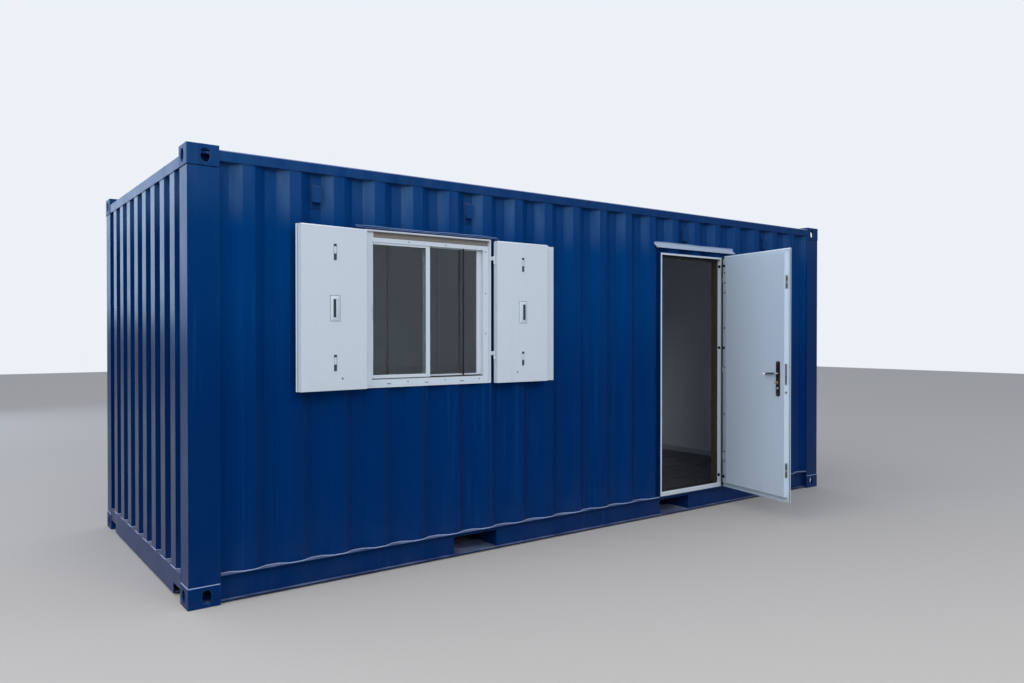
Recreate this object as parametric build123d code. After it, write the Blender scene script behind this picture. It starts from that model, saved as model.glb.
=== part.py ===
from build123d import *
from math import floor
import os

# Portable site cabin made from a 20 ft steel container, in millimetres.
# X runs along the cabin, the front wall with door and window faces -Y, and Z is up.
# The origin is the centre of the footprint, at the level of the ground.

# Overall size and the corner castings that fix the corners
CABIN_LENGTH = 6058.0
CABIN_WIDTH = 2438.0
CABIN_HEIGHT = 2591.0
CASTING_LENGTH = 178.0
CASTING_WIDTH = 162.0
CASTING_HEIGHT = 118.0
CASTING_WALL = 16.0
CASTING_PLATE = 28.0
CASTING_EDGE_RADIUS = 6.0
TWISTLOCK_LENGTH = 124.0
TWISTLOCK_WIDTH = 63.5
TWISTLOCK_END_OFFSET = 102.5
TWISTLOCK_SIDE_OFFSET = 89.5
SIDE_HOLE_WIDTH = 51.0
END_HOLE_WIDTH = 63.5
LASHING_HOLE_HEIGHT = 79.0
LASHING_HOLE_LEVEL = 59.0

# Steel frame
FRAME_RECESS = 4.0
POST_WALL = 6.0
RAIL_PLATE = 5.0
BASE_CLEARANCE = 12.5
BOTTOM_RAIL_TOP = 165.0
BOTTOM_FLANGE_WIDTH = 33.0
BOTTOM_RAIL_PROUD = 2.0
END_RAIL_FLANGE = 60.0
END_NOTCH_LENGTH = 177.0
END_NOTCH_TOP = 77.0
TOP_RAIL_SIZE = 60.0
TOP_RAIL_WALL = 4.0
TOP_RAIL_DROP = 23.0
HEADER_SIZE = 60.0
HEADER_DROP = 54.0
ROOF_END_PLATE = 4.0

# Corrugated sheets
SHEET_THICKNESS = 2.0
SIDE_RECESS = 10.0
SIDE_DEPTH = 36.0
SIDE_PITCH = 278.0
SIDE_OUTER_FLAT = 72.0
SIDE_INNER_FLAT = 70.0
SIDE_TROUGH_X = -2265.0
END_RECESS = 7.0
END_DEPTH = 45.6
END_PITCH = 250.0
END_OUTER_FLAT = 110.0
END_INNER_FLAT = 104.0
ROOF_DEPTH = 20.0
ROOF_PITCH = 209.0
ROOF_FLAT = 91.0
ROOF_CREST_DROP = 15.0

# Base
CROSS_MEMBER_HEIGHT = 122.0
CROSS_MEMBER_FLANGE = 45.0
CROSS_MEMBER_PLATE = 4.0
CROSS_MEMBER_SPACING = 345.0
POCKET_WIDTH = 360.0
POCKET_HEIGHT = 115.0
POCKET_SPACING = 2050.0
POCKET_OFFSET = -65.0
POCKET_SIDE_PLATE = 6.0
POCKET_TOP_PLATE = 4.0
POCKET_STRAP_LENGTH = 250.0
FLOOR_BOARD = 26.0
FLOOR_COVERING = 2.5

# Inside lining
SIDE_LINING = 38.0
END_LINING = 80.0
CEILING_LINING = 28.0
SKIRTING_HEIGHT = 60.0
SKIRTING_THICKNESS = 12.0
BUTT_GAP = 0.5

# How far a cutting block reaches past the faces it cuts through
CUT = 1.0

# Door frame and doorway
DOOR_LEFT = 743.0
DOOR_RIGHT = 1530.0
DOOR_TOP = 2213.0
DOOR_FACE = 15.0
DOOR_STOP = 18.0
DOOR_SUBFRAME = 5.0
DOOR_SUBFRAME_SILL = 7.0
DOOR_INNER_PROJECTION = 3.0
THRESHOLD_TOP = 207.0
THRESHOLD_BEVEL = 8.0

# Door leaf, measured closed
LEAF_GAP = 5.3
LEAF_EDGE_GAP = 8.0
LEAF_SILL_GAP = 13.0
LEAF_OVERLAP = 12.0
LEAF_HINGE_OVERLAP = 19.0
LEAF_TOP_OVERLAP = 26.0
LEAF_SHEET = 15.0
LEAF_BODY = 35.0
LEAF_BOTTOM = 175.0
LEAF_OPEN_ANGLE = 78.5
LEAF_RADIUS = 1.5

# Door hinges
HINGE_OFFSET_X = 15.0
HINGE_PROUD = 0.7
HINGE_RADIUS = 9.0
HINGE_CLEARANCE = 5.0
HINGE_PIN_RADIUS = 6.0
HINGE_PIN_CLEARANCE = 0.05
HINGE_KNUCKLE = 50.0
HINGE_JOINT_GAP = 1.0
HINGE_STRAP = 54.0
HINGE_PLATE = 4.0
HINGE_LEVELS = (420.0, 1190.0, 1990.0)
HINGE_BOLT_SETBACK = 20.0
HINGE_BOLT_RADIUS = 8.0
HINGE_BOLT_LENGTH = 11.0
HINGE_BOLT_HOLE_RADIUS = 12.0
HINGE_BOLT_HOLE_DEPTH = 10.0
HINGE_BOLT_LEVELS = (273.0, 1411.0, 2135.0)

# Door lock and handles
LEVER_HEIGHT = 1215.0
LEVER_BACKSET = 65.0
LEVER_LENGTH = 120.0
LEVER_WIDTH = 20.0
LEVER_THICKNESS = 11.0
LEVER_STAND_OFF = 52.0
SPINDLE_RADIUS = 9.0
SPINDLE_CLEARANCE = 0.05
ESCUTCHEON_WIDTH = 40.0
ESCUTCHEON_ABOVE = 98.0
ESCUTCHEON_BELOW = 186.0
ESCUTCHEON_THICKNESS = 9.0
ESCUTCHEON_CORNER = 16.0
CYLINDER_DROP = 72.0
CYLINDER_RADIUS = 8.5
CYLINDER_PROJECTION = 7.0
THUMB_TURN_WIDTH = 8.0
THUMB_TURN_HEIGHT = 30.0
THUMB_TURN_DEPTH = 26.0
LOCK_PLATE_WIDTH = 24.0
LOCK_PLATE_THICKNESS = 3.0
LOCK_PLATE_BOTTOM = 1122.0
LOCK_PLATE_TOP = 1294.0
LATCH_HEIGHT = 28.0
LATCH_THICKNESS = 12.0
LATCH_PROJECTION = 1.5
EDGE_SLOT_WIDTH = 20.0
EDGE_SLOT_DEPTH = 12.0
EDGE_SLOTS = ((375.0, 493.0), (1896.0, 2004.0))
DEAD_BOLT_HEIGHT = 1062.0
DEAD_BOLT_RADIUS = 8.0

# Strip over the door
DOOR_STRIP_LEFT = 675.0
DOOR_STRIP_RIGHT = 1690.0
DOOR_STRIP_TOP = 2285.0
DOOR_STRIP_DROP = 30.0
DOOR_STRIP_REACH = 32.0
DOOR_STRIP_LIP = 2.0
STRIP_SHEET = 3.0
STRIP_UPSTAND = 16.0

# Window
WINDOW_LEFT = -1953.0
WINDOW_RIGHT = -991.0
WINDOW_BOTTOM = 1190.0
WINDOW_TOP = 2195.0
SURROUND_FACE = 10.0
SURROUND_PROJECTION = 16.0
WINDOW_SETBACK = 22.0
WINDOW_DEPTH = 60.0
WINDOW_FACE = 41.0
WINDOW_HEAD = 28.0
PACKER_HEIGHT = 37.0
PACKER_INSET = 53.0
PACKER_SETBACK = 6.0
SASH_THICKNESS = 22.0
SASH_TRACK_MARGIN = 6.0
SLIDING_STILE = 12.0
SLIDING_RAILS = (28.0, 14.0)
MEETING_STILE = 30.0
MEETING_OFFSET = -13.0
FIXED_STILE = 33.0
FIXED_RAILS = (19.0, 5.0)
GLASS_THICKNESS = 6.0
WINDOW_STRIP_LEFT = -2020.0
WINDOW_STRIP_RIGHT = -932.0
WINDOW_STRIP_BOTTOM = 2200.0
WINDOW_STRIP_HEIGHT = 14.0
WINDOW_STRIP_REACH = 24.0

# Shutters, measured closed
SHUTTER_BOTTOM = 1190.0
SHUTTER_TOP = 2184.0
LEFT_BODY_WIDTH = 447.0
LEFT_RIM = 13.0
RIGHT_BODY_WIDTH = 449.0
RIGHT_RIM = 45.0
SHUTTER_BODY = 42.0
SHUTTER_PLATE = 3.0
SHUTTER_CLEARANCE = 6.0
LAP_WIDTH = 54.0
LAP_STEP = 5.5
LAP_INSET = 4.0
SHUTTER_RADIUS = 1.5
SHUTTER_AXIS_OFFSET = 10.0
LEFT_OPEN_ANGLE = 174.0
RIGHT_OPEN_ANGLE = 180.0
SHUTTER_HINGE_RADIUS = 7.0
SHUTTER_PIN_RADIUS = 3.5
SHUTTER_KNUCKLE = 28.0
SHUTTER_LEG_INNER = 5.0
SHUTTER_LEG_OUTER = 3.0
SHUTTER_STRAP = 6.0
SHUTTER_HINGE_LEVELS = (1384.0, 2049.0)
SHUTTER_PULL_LEVEL = 1688.0
SHUTTER_PULL_WIDTH = 66.0
SHUTTER_PULL_HEIGHT = 155.0
SHUTTER_PULL_DEPTH = 18.0
SHUTTER_PULL_WALL = 3.0
SHUTTER_PULL_RIM = 8.0
SHUTTER_PULL_GRIP = 26.0

# Ventilators in the troughs of the front wall
VENT_TROUGHS = (0, 4, 12, 16)
VENT_BASE_WIDTH = 66.0
VENT_BASE_BOTTOM = 2293.0
VENT_BASE_TOP = 2480.0
VENT_BASE_THICKNESS = 4.0
VENT_HOOD_WIDTH = 54.0
VENT_HOOD_BOTTOM = 2332.0
VENT_HOOD_TOP = 2441.0
VENT_HOOD_DEPTH = 28.0
VENT_HOOD_WALL = 3.0

# Planes that several pieces share
END_X = CABIN_LENGTH / 2
FRONT_Y = -CABIN_WIDTH / 2
CORNER_X = END_X - CASTING_LENGTH
CORNER_Y = CABIN_WIDTH / 2 - CASTING_WIDTH
FRAME_X = END_X - FRAME_RECESS
FRAME_Y = CABIN_WIDTH / 2 - FRAME_RECESS
SIDE_SHEET_Y = CABIN_WIDTH / 2 - SIDE_RECESS
SIDE_INNER_Y = SIDE_SHEET_Y - SIDE_DEPTH - SHEET_THICKNESS
END_SHEET_X = END_X - END_RECESS
END_INNER_X = END_SHEET_X - END_DEPTH - SHEET_THICKNESS
TOP_RAIL_TOP = CABIN_HEIGHT - TOP_RAIL_DROP
TOP_RAIL_BOTTOM = TOP_RAIL_TOP - TOP_RAIL_SIZE
TOP_RAIL_INNER_Y = FRAME_Y - TOP_RAIL_SIZE
HEADER_TOP = CABIN_HEIGHT - HEADER_DROP
HEADER_BOTTOM = HEADER_TOP - HEADER_SIZE
HEADER_INNER_X = FRAME_X - HEADER_SIZE
BOARD_BOTTOM = BASE_CLEARANCE + RAIL_PLATE + POCKET_HEIGHT + POCKET_TOP_PLATE
BOARD_TOP = BOARD_BOTTOM + FLOOR_BOARD
FLOOR_TOP = BOARD_TOP + FLOOR_COVERING
LINING_Y = SIDE_INNER_Y - SIDE_LINING
LINING_X = HEADER_INNER_X - END_LINING
POCKET_CENTRES = (POCKET_OFFSET - POCKET_SPACING / 2, POCKET_OFFSET + POCKET_SPACING / 2)
DOOR_SILL = BOTTOM_RAIL_TOP + DOOR_SUBFRAME_SILL
SUBFRAME_LEFT = DOOR_LEFT - DOOR_SUBFRAME
SUBFRAME_RIGHT = DOOR_RIGHT + DOOR_SUBFRAME
SUBFRAME_TOP = DOOR_TOP + DOOR_SUBFRAME


def block(x, y, z):
    """A box between two limits along each axis."""
    size = (x[1] - x[0], y[1] - y[0], z[1] - z[0])
    centre = ((x[0] + x[1]) / 2, (y[0] + y[1]) / 2, (z[0] + z[1]) / 2)
    return Pos(*centre) * Box(*size)


def outline(points):
    """A flat face bounded by straight lines through the points."""
    return make_face(Polyline(*points, close=True).edges())


def run_along_x(points, x):
    """A section of (y, z) points extruded between two X limits."""
    face = Plane.YZ.offset(x[0]) * outline(points)
    return extrude(face, amount=x[1] - x[0])


def run_along_z(points, z):
    """A section of (x, y) points extruded between two Z limits."""
    return extrude(Pos(0, 0, z[0]) * outline(points), amount=z[1] - z[0])


def run_along_y(points, y):
    """A section of (x, z) points extruded between two Y limits."""
    face = Plane.XZ.offset(-y[1]) * outline(points)
    return extrude(face, amount=y[1] - y[0])


def mirrored_y(shape):
    return mirror(shape, about=Plane.XZ)


def mirrored_x(shape):
    return mirror(shape, about=Plane.YZ)


def four_corners(shape):
    """The shape at the left front corner and its three mirror images."""
    left = [shape, mirrored_y(shape)]
    return left + [mirrored_x(piece) for piece in left]


def write(name, *shapes):
    """One STEP file for a named piece, as one solid or several that don't touch."""
    solids = [solid for shape in shapes for solid in shape.solids()]
    export_step(Compound(children=solids), f"parts/{name}.step")


def turned(shape, pivot_x, pivot_y, degrees):
    """The shape swung about an upright axis."""
    return Pos(pivot_x, pivot_y, 0) * Rot(0, 0, degrees) * Pos(-pivot_x, -pivot_y, 0) * shape


# Corrugated sheets

def sheet_section(start, stop, trough, pitch, outer_flat, inner_flat, depth):
    """The bent line of a sheet as (along, inward) points, with one trough centred on trough."""
    slope = (pitch - outer_flat - inner_flat) / 2
    half = inner_flat / 2

    def inward(along):
        offset = abs((along - trough + pitch / 2) % pitch - pitch / 2)
        return depth * min(1.0, max(0.0, (half + slope - offset) / slope))

    first = floor((start - trough) / pitch) - 1
    last = floor((stop - trough) / pitch) + 1
    bends = []
    for number in range(first, last + 1):
        centre = trough + number * pitch
        bends += [centre - half - slope, centre - half, centre + half, centre + half + slope]
    inside = [bend for bend in bends if start + SHEET_THICKNESS < bend < stop - SHEET_THICKNESS]
    return [(along, inward(along)) for along in [start] + inside + [stop]]


def closed_sheet(section):
    """The section with its thickness, as one closed outline."""
    back = [(along, inward + SHEET_THICKNESS) for along, inward in reversed(section)]
    return section + back


def side_sheet(x, z):
    """A stretch of the corrugated front wall."""
    section = sheet_section(x[0], x[1], SIDE_TROUGH_X, SIDE_PITCH, SIDE_OUTER_FLAT,
                            SIDE_INNER_FLAT, SIDE_DEPTH)
    points = [(along, inward - SIDE_SHEET_Y) for along, inward in closed_sheet(section)]
    return run_along_z(points, z)


def end_sheet():
    """The corrugated left end wall, between the corner posts."""
    section = sheet_section(-CORNER_Y, CORNER_Y, 0.0, END_PITCH, END_OUTER_FLAT,
                            END_INNER_FLAT, END_DEPTH)
    points = [(inward - END_SHEET_X, along) for along, inward in closed_sheet(section)]
    return run_along_z(points, (BOTTOM_RAIL_TOP, HEADER_BOTTOM))


def roof_sheet():
    """The roof sheet, with low corrugations that run across the cabin."""
    section = sheet_section(-CORNER_X, CORNER_X, 0.0, ROOF_PITCH, ROOF_FLAT, ROOF_FLAT, ROOF_DEPTH)
    crest = CABIN_HEIGHT - ROOF_CREST_DROP
    points = [(along, crest - inward) for along, inward in closed_sheet(section)]
    return run_along_y(points, (-TOP_RAIL_INNER_Y, TOP_RAIL_INNER_Y))


# Container frame

def corner_casting():
    """The bottom left front casting: a hollow block with three openings."""
    body = block((-END_X, -CORNER_X), (FRONT_Y, -CORNER_Y), (0, CASTING_HEIGHT))
    outer_corner = body.edges().filter_by(Axis.Z).group_by(Axis.Y)[0].sort_by(Axis.X)[0]
    body = fillet(outer_corner, CASTING_EDGE_RADIUS)
    cavity = block((-END_X + CASTING_WALL, -CORNER_X - CASTING_WALL),
                   (FRONT_Y + CASTING_WALL, -CORNER_Y - CASTING_WALL),
                   (CASTING_PLATE, CASTING_HEIGHT - CASTING_WALL))
    lock_x = -END_X + TWISTLOCK_END_OFFSET
    lock_y = FRONT_Y + TWISTLOCK_SIDE_OFFSET
    slot = Pos(lock_x, lock_y, 0) * SlotOverall(TWISTLOCK_LENGTH, TWISTLOCK_WIDTH)
    slot = extrude(slot, amount=CASTING_PLATE)
    side_plane = Plane(origin=(lock_x, FRONT_Y, LASHING_HOLE_LEVEL), x_dir=(0, 0, 1),
                       z_dir=(0, 1, 0))
    side = extrude(side_plane * SlotOverall(LASHING_HOLE_HEIGHT, SIDE_HOLE_WIDTH),
                   amount=CASTING_WALL)
    end_plane = Plane(origin=(-END_X, lock_y, LASHING_HOLE_LEVEL), x_dir=(0, 0, 1),
                      z_dir=(1, 0, 0))
    end = extrude(end_plane * SlotOverall(LASHING_HOLE_HEIGHT, END_HOLE_WIDTH),
                  amount=CASTING_WALL)
    return body - cavity - slot - side - end


def corner_castings():
    bottom = corner_casting()
    top = Pos(0, 0, CABIN_HEIGHT) * mirror(bottom, about=Plane.XY)
    write("corner_castings_bottom", *four_corners(bottom))
    write("corner_castings_top", *four_corners(top))


def corner_posts():
    """Folded L-shaped box posts between the castings."""
    side_leg = FRAME_Y - SIDE_INNER_Y
    end_leg = FRAME_X - END_INNER_X

    def section(inset):
        return [(-FRAME_X + inset, -FRAME_Y + inset), (-CORNER_X - inset, -FRAME_Y + inset),
                (-CORNER_X - inset, -FRAME_Y + side_leg - inset),
                (-FRAME_X + end_leg - inset, -FRAME_Y + side_leg - inset),
                (-FRAME_X + end_leg - inset, -CORNER_Y - inset),
                (-FRAME_X + inset, -CORNER_Y - inset)]

    height = (CASTING_HEIGHT, CABIN_HEIGHT - CASTING_HEIGHT)
    post = run_along_z(section(0), height) - run_along_z(section(POST_WALL), height)
    write("corner_posts", *four_corners(post))


def bottom_side_rails():
    """Channels whose flanges point outward, with the fork pockets cut through the webs."""
    web_outer = -SIDE_INNER_Y - RAIL_PLATE
    bottom = BASE_CLEARANCE
    lip = -FRAME_Y - BOTTOM_RAIL_PROUD
    section = [(-SIDE_INNER_Y, bottom), (-SIDE_INNER_Y, BOTTOM_RAIL_TOP),
               (lip, BOTTOM_RAIL_TOP), (lip, BOTTOM_RAIL_TOP - RAIL_PLATE),
               (web_outer, BOTTOM_RAIL_TOP - RAIL_PLATE), (web_outer, bottom + RAIL_PLATE),
               (-SIDE_INNER_Y - BOTTOM_FLANGE_WIDTH, bottom + RAIL_PLATE),
               (-SIDE_INNER_Y - BOTTOM_FLANGE_WIDTH, bottom)]
    rail = run_along_x(section, (-CORNER_X, CORNER_X))
    for centre in POCKET_CENTRES:
        rail -= block((centre - POCKET_WIDTH / 2, centre + POCKET_WIDTH / 2),
                      (web_outer - CUT, -SIDE_INNER_Y + CUT),
                      (bottom + RAIL_PLATE, bottom + RAIL_PLATE + POCKET_HEIGHT))
    write("bottom_side_rails", rail, mirrored_y(rail))


def bottom_end_rails():
    """Channels under the end walls, notched beside each corner casting."""
    bottom = BASE_CLEARANCE
    inner = -FRAME_X + END_RAIL_FLANGE
    section = [(-FRAME_X, bottom), (inner, bottom), (inner, bottom + RAIL_PLATE),
               (-FRAME_X + RAIL_PLATE, bottom + RAIL_PLATE),
               (-FRAME_X + RAIL_PLATE, BOTTOM_RAIL_TOP - RAIL_PLATE),
               (inner, BOTTOM_RAIL_TOP - RAIL_PLATE), (inner, BOTTOM_RAIL_TOP),
               (-FRAME_X, BOTTOM_RAIL_TOP)]
    rail = run_along_y(section, (-CORNER_Y, CORNER_Y))
    for side in (-1, 1):
        ends = sorted((side * CORNER_Y, side * (CORNER_Y - END_NOTCH_LENGTH)))
        rail -= block((-FRAME_X - CUT, inner + CUT), ends, (bottom, END_NOTCH_TOP))
    write("bottom_end_rails", rail, mirrored_x(rail))


def box_tube(x, y, z, wall, along):
    """A square tube, open at both ends of the named axis."""
    limits = {"x": x, "y": y, "z": z}
    bore = {axis: (low + wall, high - wall) for axis, (low, high) in limits.items()}
    bore[along] = limits[along]
    return block(x, y, z) - block(bore["x"], bore["y"], bore["z"])


def top_rails():
    rail = box_tube((-CORNER_X, CORNER_X), (-FRAME_Y, -TOP_RAIL_INNER_Y),
                    (TOP_RAIL_BOTTOM, TOP_RAIL_TOP), TOP_RAIL_WALL, "x")
    write("top_side_rails", rail, mirrored_y(rail))
    header = box_tube((-FRAME_X, -HEADER_INNER_X), (-CORNER_Y, CORNER_Y),
                      (HEADER_BOTTOM, HEADER_TOP), TOP_RAIL_WALL, "y")
    write("top_end_rails", header, mirrored_x(header))


def roof():
    write("roof_sheet", roof_sheet())
    crest = CABIN_HEIGHT - ROOF_CREST_DROP
    section = [(-FRAME_X, HEADER_TOP), (-CORNER_X, HEADER_TOP), (-CORNER_X, crest),
               (-CORNER_X - ROOF_END_PLATE, crest),
               (-CORNER_X - ROOF_END_PLATE, HEADER_TOP + ROOF_END_PLATE),
               (-FRAME_X, HEADER_TOP + ROOF_END_PLATE)]
    plate = run_along_y(section, (-CORNER_Y, CORNER_Y))
    write("roof_end_plates", plate, mirrored_x(plate))


# Base

def cross_members():
    """C-shaped members between the side rails, left out where a fork pocket runs."""
    top = BOARD_BOTTOM
    bottom = top - CROSS_MEMBER_HEIGHT
    plate = CROSS_MEMBER_PLATE
    flange = CROSS_MEMBER_FLANGE
    section = [(0, bottom), (flange, bottom), (flange, bottom + plate), (plate, bottom + plate),
               (plate, top - plate), (flange, top - plate), (flange, top), (0, top)]
    reach = POCKET_WIDTH / 2 + POCKET_SIDE_PLATE + flange
    count = int((CORNER_X * 2 - flange) / CROSS_MEMBER_SPACING)
    first = -count * CROSS_MEMBER_SPACING / 2
    members = []
    for number in range(count + 1):
        place = first + number * CROSS_MEMBER_SPACING
        if min(abs(place - centre) for centre in POCKET_CENTRES) > reach:
            points = [(place + along, level) for along, level in section]
            members.append(run_along_y(points, (-SIDE_INNER_Y, SIDE_INNER_Y)))
    write("cross_members", *members)


def fork_pockets():
    """Two channels across the base, open below between short straps at their mouths."""
    bottom = BASE_CLEARANCE
    pockets = []
    for centre in POCKET_CENTRES:
        inner = (centre - POCKET_WIDTH / 2, centre + POCKET_WIDTH / 2)
        outer = (inner[0] - POCKET_SIDE_PLATE, inner[1] + POCKET_SIDE_PLATE)
        length = (-SIDE_INNER_Y, SIDE_INNER_Y)
        pocket = block(outer, length, (bottom, BOARD_BOTTOM))
        pocket -= block(inner, length, (bottom, BOARD_BOTTOM - POCKET_TOP_PLATE))
        for side in (-1, 1):
            strap = sorted((side * SIDE_INNER_Y, side * (SIDE_INNER_Y - POCKET_STRAP_LENGTH)))
            pocket += block(inner, strap, (bottom, bottom + RAIL_PLATE))
        pockets.append(pocket)
    write("fork_pockets", *pockets)


def floor_layers():
    board_x = FRAME_X - END_RAIL_FLANGE
    boards = block((-board_x, board_x), (-SIDE_INNER_Y, SIDE_INNER_Y), (BOARD_BOTTOM, BOARD_TOP))
    write("floor_boards", boards)
    covering = block((-LINING_X, LINING_X), (-LINING_Y, LINING_Y), (BOARD_TOP, FLOOR_TOP))
    write("floor_covering", covering)


# Walls and linings, split beside, under and over the doorway and the window

def front_wall():
    """Full-height panels beside the openings, and shorter ones under and over them."""
    low = BOTTOM_RAIL_TOP
    high = TOP_RAIL_BOTTOM
    write("front_wall_panels",
          side_sheet((-CORNER_X, WINDOW_LEFT), (low, high)),
          side_sheet((WINDOW_RIGHT, SUBFRAME_LEFT), (low, high)),
          side_sheet((SUBFRAME_RIGHT, CORNER_X), (low, high)))
    write("front_wall_infills",
          side_sheet((WINDOW_LEFT, WINDOW_RIGHT), (low, WINDOW_BOTTOM)),
          side_sheet((WINDOW_LEFT, WINDOW_RIGHT), (WINDOW_TOP, high)),
          side_sheet((SUBFRAME_LEFT, SUBFRAME_RIGHT), (SUBFRAME_TOP, high)))


def plain_walls():
    rear = mirrored_y(side_sheet((-CORNER_X, CORNER_X), (BOTTOM_RAIL_TOP, TOP_RAIL_BOTTOM)))
    write("rear_wall", rear)
    write("end_walls", end_sheet(), mirrored_x(end_sheet()))


def casting_notches():
    """The room that the top corner castings take out of the linings."""
    low = CABIN_HEIGHT - CASTING_HEIGHT
    return four_corners(block((-END_X, -CORNER_X), (FRONT_Y, -CORNER_Y), (low, CABIN_HEIGHT)))


def linings():
    low = BOARD_TOP
    high = TOP_RAIL_BOTTOM
    depth = (-SIDE_INNER_Y, -LINING_Y)
    reach = HEADER_INNER_X
    notches = casting_notches()
    write("lining_front_panels",
          block((-reach, WINDOW_LEFT), depth, (low, high)) - notches,
          block((WINDOW_RIGHT, DOOR_LEFT), depth, (low, high)),
          block((DOOR_RIGHT, reach), depth, (low, high)) - notches)
    write("lining_front_infills",
          block((WINDOW_LEFT, WINDOW_RIGHT), depth, (low, WINDOW_BOTTOM)),
          block((WINDOW_LEFT, WINDOW_RIGHT), depth, (WINDOW_TOP, high)),
          block((DOOR_LEFT, DOOR_RIGHT), depth, (DOOR_TOP, high)))
    rear = block((-reach, reach), (LINING_Y, SIDE_INNER_Y), (low, high))
    write("lining_rear", rear - notches)
    end = block((-reach, -LINING_X), (-LINING_Y, LINING_Y), (low, high)) - notches
    write("lining_ends", end, mirrored_x(end))
    ceiling = block((-reach, reach), (-TOP_RAIL_INNER_Y, TOP_RAIL_INNER_Y),
                    (high, high + CEILING_LINING))
    write("ceiling_lining", ceiling - notches)


def skirting():
    """Skirting boards round the room, with a gap at the doorway."""
    level = (FLOOR_TOP, FLOOR_TOP + SKIRTING_HEIGHT)
    back = LINING_Y - SKIRTING_THICKNESS
    boards = [block((-LINING_X, DOOR_LEFT), (-LINING_Y, -back), level),
              block((DOOR_RIGHT, LINING_X), (-LINING_Y, -back), level),
              block((-LINING_X, LINING_X), (back, LINING_Y), level)]
    end = block((-LINING_X, -LINING_X + SKIRTING_THICKNESS),
                (-back + BUTT_GAP, back - BUTT_GAP), level)
    write("skirting", *boards, end, mirrored_x(end))


# Doorway

def door_frame():
    """A blue sub-frame, a pale frame round the leaf and a dark reveal that stops the leaf."""
    front = FRONT_Y
    rebate = front + LEAF_BODY
    back = -LINING_Y + DOOR_INNER_PROJECTION
    subframe = block((SUBFRAME_LEFT, SUBFRAME_RIGHT), (front, -SIDE_INNER_Y),
                     (BOTTOM_RAIL_TOP, SUBFRAME_TOP))
    subframe -= block((DOOR_LEFT, DOOR_RIGHT), (front, -SIDE_INNER_Y),
                      (BOTTOM_RAIL_TOP, DOOR_TOP))
    subframe += block((DOOR_LEFT, DOOR_RIGHT), (front, back), (BOTTOM_RAIL_TOP, DOOR_SILL))
    write("door_subframe", subframe)

    frame = block((DOOR_LEFT, DOOR_RIGHT), (front, rebate), (DOOR_SILL, DOOR_TOP))
    frame -= block((DOOR_LEFT + DOOR_FACE, DOOR_RIGHT - DOOR_FACE), (front, rebate),
                   (DOOR_SILL, DOOR_TOP - DOOR_FACE))
    inset = DOOR_FACE + DOOR_STOP
    reveal = block((DOOR_LEFT, DOOR_RIGHT), (rebate, back), (DOOR_SILL, DOOR_TOP))
    reveal -= block((DOOR_LEFT + inset, DOOR_RIGHT - inset), (rebate, back),
                    (DOOR_SILL, DOOR_TOP - inset))
    write("door_reveal", reveal)
    bolt_y = front - LEAF_GAP + HINGE_BOLT_SETBACK
    for level in HINGE_BOLT_LEVELS:
        hole_plane = Plane(origin=(DOOR_RIGHT - DOOR_FACE, bolt_y, level), z_dir=(1, 0, 0))
        frame -= extrude(hole_plane * Circle(HINGE_BOLT_HOLE_RADIUS), amount=HINGE_BOLT_HOLE_DEPTH)
    write("door_frame", frame)

    section = [(front, DOOR_SILL), (front, THRESHOLD_TOP - THRESHOLD_BEVEL),
               (front + THRESHOLD_BEVEL, THRESHOLD_TOP), (rebate, THRESHOLD_TOP),
               (rebate, DOOR_SILL)]
    sill = run_along_x(section, (DOOR_LEFT + DOOR_FACE, DOOR_RIGHT - DOOR_FACE))
    sill += block((DOOR_LEFT + inset, DOOR_RIGHT - inset), (rebate, back),
                  (DOOR_SILL, THRESHOLD_TOP))
    write("door_threshold", sill)


def drip_section(wall_y, top, drop, reach, lip, upstand, sheet):
    """A folded strip: a flange up the wall, a sloping apron and a lip, as (y, z) points."""
    return [(wall_y, top + upstand), (wall_y, top - sheet), (wall_y - reach + sheet, top - drop),
            (wall_y - reach + sheet, top - drop - lip), (wall_y - reach, top - drop - lip),
            (wall_y - reach, top - drop + sheet), (wall_y - sheet, top),
            (wall_y - sheet, top + upstand)]


def drip_strips():
    door = drip_section(-SIDE_SHEET_Y, DOOR_STRIP_TOP, DOOR_STRIP_DROP, DOOR_STRIP_REACH,
                        DOOR_STRIP_LIP, STRIP_UPSTAND, STRIP_SHEET)
    write("door_drip_strip", run_along_x(door, (DOOR_STRIP_LEFT, DOOR_STRIP_RIGHT)))
    bottom = WINDOW_STRIP_BOTTOM
    wall = -SIDE_SHEET_Y
    window = [(wall, bottom), (wall, bottom + WINDOW_STRIP_HEIGHT),
              (wall - STRIP_SHEET, bottom + WINDOW_STRIP_HEIGHT),
              (wall - STRIP_SHEET, bottom + STRIP_SHEET),
              (wall - WINDOW_STRIP_REACH, bottom + STRIP_SHEET),
              (wall - WINDOW_STRIP_REACH, bottom)]
    write("window_drip_strip", run_along_x(window, (WINDOW_STRIP_LEFT, WINDOW_STRIP_RIGHT)))


# Door leaf, modelled closed and then swung open about its hinge pins

HINGE_X = DOOR_RIGHT + HINGE_OFFSET_X
LEAF_BACK_Y = FRONT_Y - LEAF_GAP
LEAF_OUTER_Y = LEAF_BACK_Y - LEAF_SHEET
LEAF_INNER_Y = LEAF_BACK_Y + LEAF_BODY
HINGE_Y = LEAF_OUTER_Y - HINGE_PROUD
LEAF_BODY_LEFT = DOOR_LEFT + DOOR_FACE + LEAF_EDGE_GAP
LEAF_BODY_RIGHT = DOOR_RIGHT - DOOR_FACE - LEAF_EDGE_GAP
LEAF_BODY_TOP = DOOR_TOP - DOOR_FACE - LEAF_EDGE_GAP
LEAF_BODY_BOTTOM = THRESHOLD_TOP + LEAF_SILL_GAP
LEVER_X = LEAF_BODY_LEFT + LEVER_BACKSET


def swung(shape):
    """The shape moved with the leaf from closed to the open position of the photograph."""
    return turned(shape, HINGE_X, HINGE_Y, LEAF_OPEN_ANGLE)


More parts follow.
